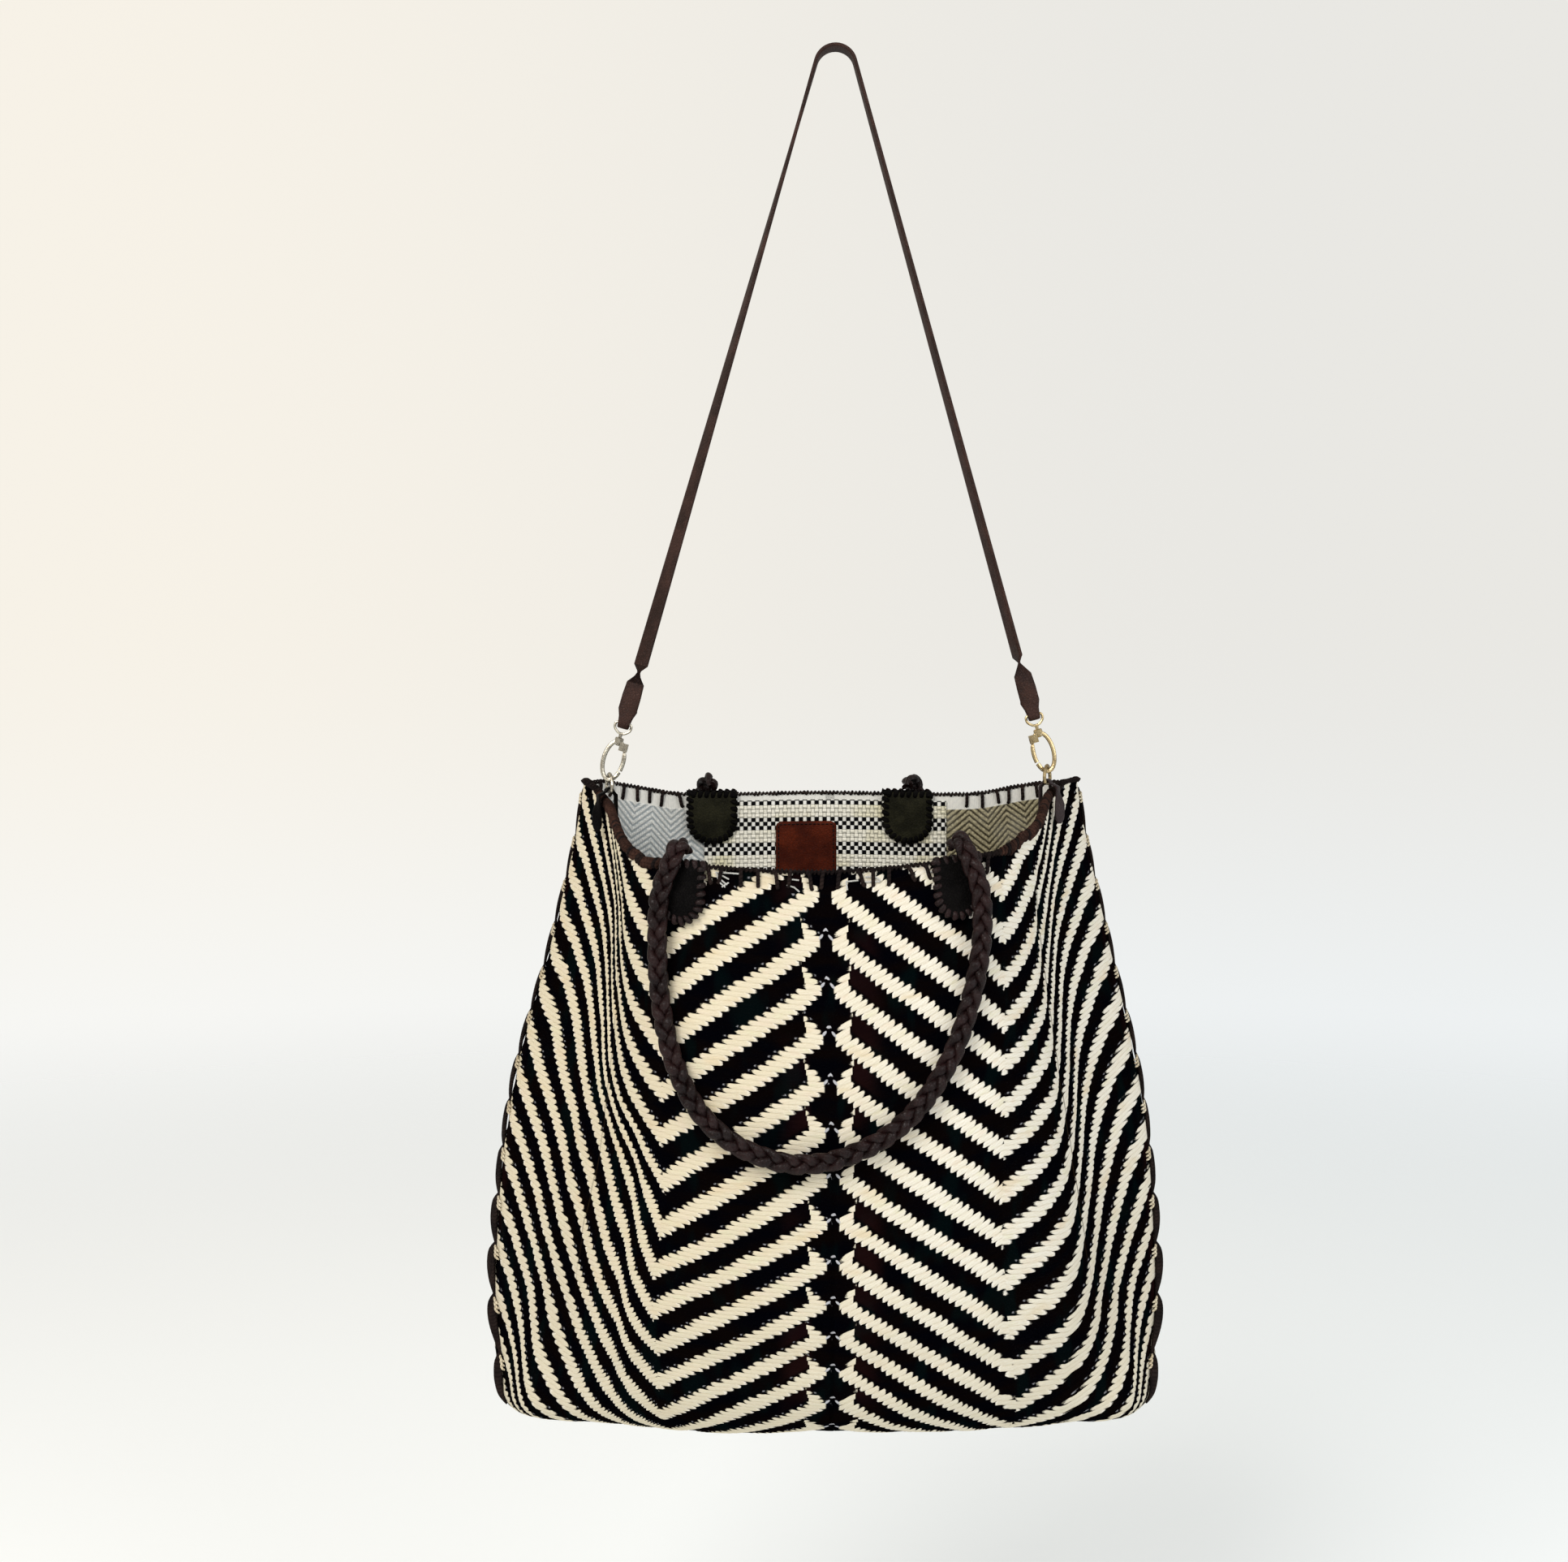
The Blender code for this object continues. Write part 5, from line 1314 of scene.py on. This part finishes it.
def make_rim_core():
    """The closed band under the rim's wraps."""
    core = Parts()
    column, _ = place_along(np.arange(CORE_STATIONS) / CORE_STATIONS)
    broad = broad_edging(column)
    skirt = 0.8 + 1.4 * broad
    outer = 1.1 - 0.2 * broad
    inner = LINING_FACE + 0.4 + 0.5 * broad
    middle = (outer + inner) / 2
    flat = np.zeros(CORE_STATIONS)
    profile = (
        (skirt, outer), (flat + 0.6, outer), (flat - 0.2, outer - 1.0), (-0.4 - 0.4 * broad, middle),
        (flat - 0.2, inner + 1.0), (flat + 0.6, inner), (skirt, inner), (skirt, inner + 0.6),
        (flat + 0.5, flat - 1.5), (flat + 0.5, flat - 0.8), (skirt, flat + 0.2),
    )
    points = np.stack([cloth(column, lifted(column, down), reach) for down, reach in profile], axis=1)
    count = len(profile)
    along, around = np.arange(CORE_STATIONS)[:, None] * 2.4, np.arange(count)[None] * 30.0
    uv = np.stack(np.broadcast_arrays(along, around), axis=-1)
    core.add(points, tube_faces(CORE_STATIONS, count, closed=True), uv)
    made = core.make("rim_core", DARK_YARN, "root")
    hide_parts("rim_edging")


def make_rim_wraps(rng):
    """Thick yarn wrapped over the rim, side by side."""
    wraps = {"dark": Parts(), "brown": Parts()}
    _, total = place_along([0.0])
    number = int(total / WRAP_SPACING)
    starts, _ = place_along(np.arange(number) / number)
    nexts, _ = place_along((np.arange(number) + 0.9) / number)
    for index in range(number):
        wide = float(broad_edging(starts[index]))
        start, lean = starts[index], (nexts[index] - starts[index]) * (1 + 0.9 * wide)
        brown = wide > 0.3 and rng.random() > 0.2
        outside = 1.1 - 0.1 * wide
        inside = LINING_FACE + 0.2 + 0.7 * wide
        skirt = 1.0 + 2.2 * wide + rng.uniform(-0.3, 0.5 + 1.1 * wide)
        over = -0.5 - 0.6 * wide
        route = (
            (0.0, skirt + 0.5, outside - 0.9),
            (0.05, skirt - 0.5, outside + 0.3),
            (0.3, 0.6, outside + 0.3),
            (0.45, over * 0.75, outside - 0.9),
            (0.5, over, (outside + inside) / 2),
            (0.55, over * 0.75, inside + 0.9),
            (0.7, 0.6, inside - 0.3),
            (0.95, skirt - 0.5, inside - 0.3),
            (1.0, skirt + 0.5, inside + 0.9),
        )
        path = [
            cloth_point(start + lean * share, lifted(start + lean * share, down), reach)
            for share, down, reach in route
        ]
        path = spline(path, 2)
        _, normals = carried(path, np.array((0.1, 0.2, 0.97)))
        thick = (0.95 + 0.4 * wide) * rng.uniform(0.75, 1.2)
        sweep(wraps["brown" if brown else "dark"], path, normals, thick, thick * 0.8, sides=6)
    wraps["dark"].make("rim_wraps_dark", DARK_YARN, "root")
    wraps["brown"].make("rim_wraps_brown", BROWN_YARN, "root")


def make_rim_bars(rng):
    """Long stitches below the rim, in sight inside the rear and outside the front."""
    bars = Parts()
    _, total = place_along([0.0])
    number = int(total / BAR_SPACING)
    places, _ = place_along((np.arange(number) + 0.5) / number)
    for column in places:
        length = BAR_LENGTH + rng.uniform(-1.0, 1.0)
        inside = RIGHT_SIDE - 0.8 < column < LEFT_SIDE + 0.8
        face, sign = (LINING_FACE - 0.8, -1) if inside else (2.0, 1)
        ground = LINING_FACE - LINING if inside else RIDGE
        in_pocket = abs(column - REAR) < POCKET_HALF_WIDTH / VALLEY_AT + 0.05
        if in_pocket or not inside and broad_edging(column) > 0.3:
            continue
        route = (
            (-0.4, face), (1.5, face + sign * 0.5), (3.5, ground + sign * 1.2),
            (length - 1.5, ground + sign * 0.8), (length, ground - sign * 0.4),
        )
        slip = rng.uniform(-0.012, 0.012)
        path = [cloth_point(column + slip * step, *place) for step, place in enumerate(route)]
        path = spline(path, 3)
        _, normals = carried(path, np.array((0.1, -0.99, 0.02)))
        sweep(bars, path, normals, 1.25, 0.85, sides=6)
    bars.make("rim_bars", DARK_YARN, "root")


make_rim_core()
yarn_chance = np.random.default_rng(5)
make_rim_wraps(yarn_chance)
make_rim_bars(yarn_chance)


def make_seam(label, column):
    """Overcast yarn down one side: long leaves, straight inside and rounded outside."""
    dark, pale = Parts(), Parts()
    length = float(cloth_length(np.array([float(column)]))[0]) - SEAM_FOOT
    pitch = (length - EDGING_SKIRT) / SEAM_LOOPS
    forward = -1.0 if column < REAR else 1.0
    outwards = np.array((-forward, 0.1, 0.1))

    def stitch(parts, route, thick):
        path = spline([cloth_point(column + forward * lean, *place) for lean, *place in route], 3)
        _, normals = carried(path, outwards)
        share = np.linspace(0.1, 0.93, len(path))
        radius = thick * np.sin(share * math.pi) ** 0.5
        sweep(parts, path, normals, radius, radius * 0.85, sides=7)

    for number in range(SEAM_LOOPS):
        top = EDGING_SKIRT + pitch * number
        for strand in range(SEAM_STRANDS):
            rounded = strand / (SEAM_STRANDS - 1)
            stitch(dark, [
                (
                    0.17 - 0.14 * rounded * math.sin(math.pi * part ** 0.8),
                    top + pitch * (part * 1.08 - 0.04),
                    0.9 + (1.2 + 1.8 * rounded) * math.sin(math.pi * min(part ** 0.8, 1.0)),
                )
                for part in (0.0, 0.2, 0.4, 0.6, 0.8, 1.0)
            ], 1.5)
        for step in range(3):
            drop = top + 1.0 + 2.4 * step
            stitch(pale, (
                (0.15, drop, 0.6), (0.19, drop + 1.0, 2.0), (0.23, drop + 2.2, 1.9), (0.26, drop + 3.0, 0.6),
            ), 1.0)
    made = dark.make(f"side_seam_{label}_loops", DARK_YARN, "root")
    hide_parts(f"side_seam_{label}")
    pale.make(f"side_seam_{label}_tips", CREAM_YARN, "root")


make_seam("right", RIGHT_SIDE)
make_seam("left", LEFT_SIDE)


# Braided handles

def handle_ends(spacing, side):
    """Where a handle's left and right ends turn over the rim."""
    above = EDGING_RISE + FIT_GAP + BRAID_END_RADIUS
    middle = FRONT if side < 0 else REAR
    ends = []
    for x in (HANDLE_SHIFT[side] - spacing, HANDLE_SHIFT[side] + spacing):
        down = -above + (REAR_HANDLE_SINK if side > 0 else 0.0)
        _, y, z = cloth_point((middle - side * x / VALLEY_AT) % COLUMNS, down, -WALL / 2)
        ends.append(np.array((x + BAG_SHIFT, y, z)))
    return ends


def skew(x, fallen):
    """How far the front handle has slipped to the left, at a share of its drop."""
    below = np.clip((fallen - 0.25) / 0.6, 0, 1)
    return HANDLE_SKEW * below * (1.0 if x > 20 else 0.6 if x > -20 else 0.1)


def handle_route(spacing, side):
    """Corners of a hanging handle's centre line, from one rim end to the other.

    side is -1 for the front handle and 1 for the rear one. Each row holds the
    distance from the handle's middle, the height over the axis and the share
    of the way from over the wall to hanging clear outside it.
    """
    spread, drop = HANDLE_HALF_WIDTH, HANDLE_DROP
    half = (
        (spacing, 0.0, 0.0),
        (spacing + 1.0, 3.0, 0.3),
        (spacing + 3.0, 4.4, 0.65),
        (spacing + 6.0, 1.6, 0.93),
        (spacing + 9.0, -6.0, 1.0),
        (spread - 1.0, -0.14 * drop, 1.0),
        (spread, -0.29 * drop, 1.0),
        (spread - 2.5, -0.47 * drop, 1.0),
        (spread - 11.0, -0.65 * drop, 1.0),
        (spread - 27.0, -0.81 * drop, 1.0),
        (spread - 49.0, -0.92 * drop, 1.0),
        (spread - 75.0, -0.985 * drop, 1.0),
    )
    route = list(half) + [(0.0, -drop, 1.0)] + [(-x, z, out) for x, z, out in reversed(half)]
    if side < 0:
        route = [(x - skew(x, -z / drop), z + HANDLE_LIFT * (-z / drop) ** 4, out) for x, z, out in route]
    left, right = handle_ends(spacing, side)
    clear = RIDGE + FIT_GAP + BRAID_RADIUS + BRAID_RELIEF
    stand = OUTER_TONGUE + TONGUE_LEATHER + 2 * FIT_GAP + BRAID_RADIUS + BRAID_RELIEF
    middle = FRONT if side < 0 else REAR
    corners = []
    for x, z, out in route:
        share = min(max(0.5 + x / spacing / 2, 0.0), 1.0)
        axis = left + (right - left) * share
        height = axis[2] + z
        along_rim = x + HANDLE_SHIFT[side]
        column = (middle - side * along_rim / VALLEY_AT) % COLUMNS
        wall = outline(np.array([column]), np.array([height]))[0][0, 1]
        below = max(0.0, -z - TONGUE_LENGTH - 2 * BRAID_RADIUS)
        reach = clear + (stand - clear) * max(0.0, 1 - below / 30.0)
        outside = wall + side * reach
        corners.append((along_rim + BAG_SHIFT, axis[1] + (outside - axis[1]) * out, height))
    return corners


def make_handle(node, spacing, side):
    """A plait of three leather thongs along the handle's route."""
    route, at = even_path(spline(handle_route(spacing, side), 12), 1.3)
    middle = len(route) // 2
    along, normals = carried(route, np.array((0.0, float(side), 0.0)), middle)
    across = np.cross(along, normals)
    total = at[-1]
    full = np.clip(np.minimum(at, total - at) / 12.0, 0, 1)
    full = full * full * (3 - 2 * full)
    parts = Parts()
    for strand in range(PLAIT_STRANDS):
        turn = 2 * math.pi * (at / PLAIT_PITCH + strand / PLAIT_STRANDS)
        sideways = (2.2 + 1.6 * full) * np.sin(turn)
        depth = (1.2 + 1.0 * full) * np.sin(2 * turn)
        path = route + across * sideways[:, None] + normals * depth[:, None]
        sweep(parts, path, normals, 2.35 + 0.75 * full, 1.9 + 0.3 * full, sides=10, power=0.9)
    made = parts.make(f"{node}_plait", BRAID_LEATHER, node)
    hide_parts(node)


make_handle("front_handle", FRONT_HANDLE_AT, -1)
make_handle("rear_handle", REAR_HANDLE_AT, 1)


# Shoulder strap

def side_frame(side):
    """Origin and directions of one clip: down the strand, and inwards."""
    origin = Vector((FOLD_X[side], 0.0, FOLD_Z[side]))
    down = Vector((side * SIN_STRAND[side], 0.0, -COS_STRAND[side]))
    inward = Vector((-side * COS_STRAND[side], 0.0, -SIN_STRAND[side]))
    return origin, down, inward


def clip_point(side, inward, down, forward=0.0):
    """A point given along one clip's own directions."""
    origin, down_axis, inward_axis = side_frame(side)
    return origin + inward_axis * inward + down_axis * down + Vector((0.0, forward, 0.0))


def strap_frames():
    """Centre points, width directions and widths along the strap."""
    frames = []
    below = FOLD_LENGTH + 25.0

    def add_end(side, twist):
        part = []
        steps = 40
        for step in range(steps + 1):
            share = step / steps
            down = -STRAND_LENGTH[side] + (STRAND_LENGTH[side] - below) * share
            part.append((clip_point(side, 0.0, down), FOLD_TURN * share * twist, STRAP_WIDTH))
        layer = STRAP_THICKNESS / 2 + FIT_GAP / 2
        plan = [
            (-FOLD_LENGTH - 12.0, -0.5 * layer, twist + (1 - twist) * 0.6, STRAP_WIDTH),
            (-FOLD_LENGTH - 3.0, -layer, 1.0, FOLD_BULGE_WIDTH),
            (-FOLD_LENGTH * 0.65, -layer, 1.0, FOLD_BULGE_WIDTH),
            (-FOLD_LENGTH * 0.4, -layer * 1.15, 1.0, FOLD_TIP_WIDTH + 1.5),
        ]
        for down, forward, turned, width in plan:
            part.append((clip_point(side, 0.0, down, forward), FOLD_TURN * turned, width))
        for step in range(9):
            angle = math.pi * step / 8
            down = BAR_DISTANCE + BAR_RADIUS * math.sin(angle)
            forward = -BAR_RADIUS * math.cos(angle)
            part.append((clip_point(side, 0.0, down, forward), FOLD_TURN, FOLD_TIP_WIDTH))
        for down, forward, turned, width in reversed(plan[2:]):
            part.append((clip_point(side, 0.0, down, -forward), FOLD_TURN, width))
        part.append((clip_point(side, 0.0, -FOLD_LENGTH, layer), FOLD_TURN, FOLD_TIP_WIDTH + 2.0))
        return part

    left = [(point, -angle, width) for point, angle, width in add_end(-1, LEFT_TWIST)]
    right = add_end(1, RIGHT_TWIST)
    frames += reversed(left)
    steps = 16
    for step in range(1, steps):
        sweep_angle = math.pi - STRAND_ANGLE[-1] - STRAND_ANGLE[1]
        angle = math.pi - STRAND_ANGLE[-1] - sweep_angle * step / steps
        x = STRAP_MID_RADIUS * math.cos(angle)
        z = STRAP_MID_RADIUS * math.sin(angle) - STRAP_BEND_RADIUS
        frames.append((Vector((x, 0.0, z)), 0.0, STRAP_WIDTH))
    return frames + right


def make_strap():
    """The strap's leather, with softly rounded edges."""
    frames = strap_frames()
    path, ups, widths = [], [], []
    for index, (point, twist, width) in enumerate(frames):
        before = frames[max(index - 1, 0)][0]
        after = frames[min(index + 1, len(frames) - 1)][0]
        along = (after - before).normalized()
        level = Vector((0.0, 1.0, 0.0))
        if abs(along.y) > 0.05 or abs(twist) > 1.4:
            side = 1 if point.x > 0 else -1
            across = Vector((COS_STRAND[side], 0.0, side * SIN_STRAND[side]))
        else:
            across = Matrix.Rotation(-twist, 3, along) @ level
        across = (across - along * across.dot(along)).normalized()
        path.append(tuple(point))
        ups.append(tuple(along.cross(across)))
        widths.append(width / 2)
    parts = Parts()
    sweep(
        parts, np.array(path), -np.array(ups), np.array(widths), STRAP_THICKNESS / 2, sides=16, power=0.45,
    )
    made = parts.make("strap_leather", STRAP_LEATHER, "root")
    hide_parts("shoulder_strap")


make_strap()


def make_tab(label, side):
    """Leather strip over the rim, folded round the foot of the ring."""
    column = RIGHT_SIDE - 1 if side > 0 else LEFT_SIDE + 1
    rim = RIM_HEIGHTS[column]
    points, outwards = outline(np.array([float(column)]), np.array([rim]))
    point, outward = Vector((*points[0], 0)), Vector((*outwards[0], 0))
    top = RING_FOOT_Z[side] - rim
    foot = Vector((RING_X[side] - point.x, -point.y, 0.0)).dot(outward)
    half = TAB_LEATHER / 2
    loop_radius = RING_WIRE + FIT_GAP + half
    outer_at = OUTER_TONGUE + TAB_STAND + half
    inner_at = INNER_TONGUE - half
    route = [(outer_at, -TAB_SHOWN_LENGTH * (1 - step / 8)) for step in range(9)]
    route.append((outer_at, top * 0.6))
    for step in range(9):
        angle = math.pi * step / 8
        route.append((foot + loop_radius * math.cos(angle), top + loop_radius * math.sin(angle)))
    route.append((inner_at, top * 0.6))
    route += [(inner_at, -TAB_INNER_LENGTH * step / 5) for step in range(6)]
    path, ups, widths = [], [], []
    for index, (reach, up) in enumerate(route):
        before, after = route[max(index - 1, 0)], route[min(index + 1, len(route) - 1)]
        run = Vector((after[0] - before[0], after[1] - before[1])).normalized()
        normal = Vector((-run.y, run.x))
        lean = 0.0
        if up < 0:
            wall, _ = outline(np.array([float(column)]), np.array([rim + up]))
            lean = (Vector((*wall[0], 0)) - point).dot(outward)
        turned = min(1.0, max(0.0, -up) / 8.0) if reach > 0 else 0.0
        place = point + outward * (reach + lean + 1.2 * turned)
        place.z = rim + up
        facing = outward * normal.x
        facing.z = normal.y
        facing = Matrix.Rotation(-side * TAB_TURN * turned, 3, "Z") @ facing
        path.append(tuple(place))
        ups.append(tuple(facing))
        narrow = math.sqrt(1 - (1 - min(index / 2.5, 1)) ** 2) if index < 3 else 1.0
        widths.append(TAB_WIDTH / 2 * max(narrow, 0.3))
    parts = Parts()
    sweep(parts, np.array(path), np.array(ups), np.array(widths), half, sides=14, power=0.5)
    leather = TAB_LEATHER_LOOK if side > 0 else OUTER_TONGUE_SKIN
    made = parts.make(f"ring_tab_{label}_leather", leather, "root")
    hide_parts(f"ring_tab_{label}")


make_tab("right", 1)
make_tab("left", -1)

for label, metal in (("right", BRASS), ("left", NICKEL)):
    for node in ("swivel_eye_", "clip_body_", "gate_", "gate_pin_", "ring_"):
        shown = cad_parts[node + label]
        for holder in shown.material_slots:
            holder.material = metal


# Floor, light and camera

def floor_look():
    """Pale floor that fades into the background far from the bag."""
    look = Look("pale_floor")
    place = look.place()
    tone = look.noise(place, 1.5, 2.0)
    x, y, _ = look.split(place)
    away = look.math("SQRT", x * x + y * y)
    colour = look.mix(look.ramp(x, -1.2, 1.2), LOWER_LEFT, LOWER_RIGHT)
    colour = look.mix(tone * 0.04, colour, (0.8, 0.8, 0.79))
    return look.finish(
        base_color=colour, roughness=0.9, specular_ior_level=0.1, alpha=look.ramp(away, FLOOR_REACH, 1.0),
        emission_color=colour, emission_strength=0.25,
    )


def surround_look(tree):
    """Pale surround, warm at the upper left and cool at the lower right."""
    look = Nodes(tree)
    x, _, z = look.split(look.place("Generated"))
    to_right = look.ramp(x, -0.40, 0.30)
    upper = look.mix(to_right, UPPER_LEFT, UPPER_RIGHT)
    lower = look.mix(to_right, LOWER_LEFT, LOWER_RIGHT)
    background = tree.nodes["Background"]
    look.feed(background.inputs["Color"], look.mix(look.ramp(z, -0.25, 0.10), lower, upper))
    shown = look.node("LightPath", output="Is Camera Ray")
    look.feed(background.inputs["Strength"], look.pick(shown, SURROUND_LIGHT, 1.0))


def make_floor():
    """A wide floor below the bag, which only catches its light."""
    mesh = bpy.data.meshes.new("floor")
    signs = ((-1, -1), (1, -1), (1, 1), (-1, 1))
    corners = [(x * FLOOR_REACH, y * FLOOR_REACH, FLOOR_LEVEL) for x, y in signs]
    mesh.from_pydata(corners, [], [(0, 1, 2, 3)])
    floor = bpy.data.objects.new("floor", mesh)
    bpy.context.scene.collection.objects.link(floor)
    mesh.materials.append(floor_look())


def add_light(name, place, size, power, colour):
    light = bpy.data.lights.new(name, "AREA")
    light.shape = "RECTANGLE"
    light.size = light.size_y = size
    light.energy = power
    light.color = colour
    holder = bpy.data.objects.new(name, light)
    bpy.context.scene.collection.objects.link(holder)
    holder.location = place
    holder.rotation_euler = (Vector(LIGHTS_TARGET) - Vector(place)).to_track_quat("-Z", "Y").to_euler()


def set_stage():
    make_floor()
    scene = bpy.context.scene
    world = scene.world or bpy.data.worlds.new("studio")
    scene.world = world
    world.use_nodes = True
    surround_look(world.node_tree)
    for values in LIGHTS:
        add_light(*values)
    camera = bpy.data.cameras.new("camera")
    holder = bpy.data.objects.new("camera", camera)
    scene.collection.objects.link(holder)
    camera.sensor_width = SENSOR_WIDTH
    camera.lens = FOCAL_PIXELS / PHOTO_WIDTH * SENSOR_WIDTH
    camera.clip_start = 0.01
    holder.location = CAMERA_PLACE
    holder.rotation_euler = (math.radians(90), 0.0, 0.0)
    scene.camera = holder
    scene.view_settings.view_transform = "Standard"


set_stage()
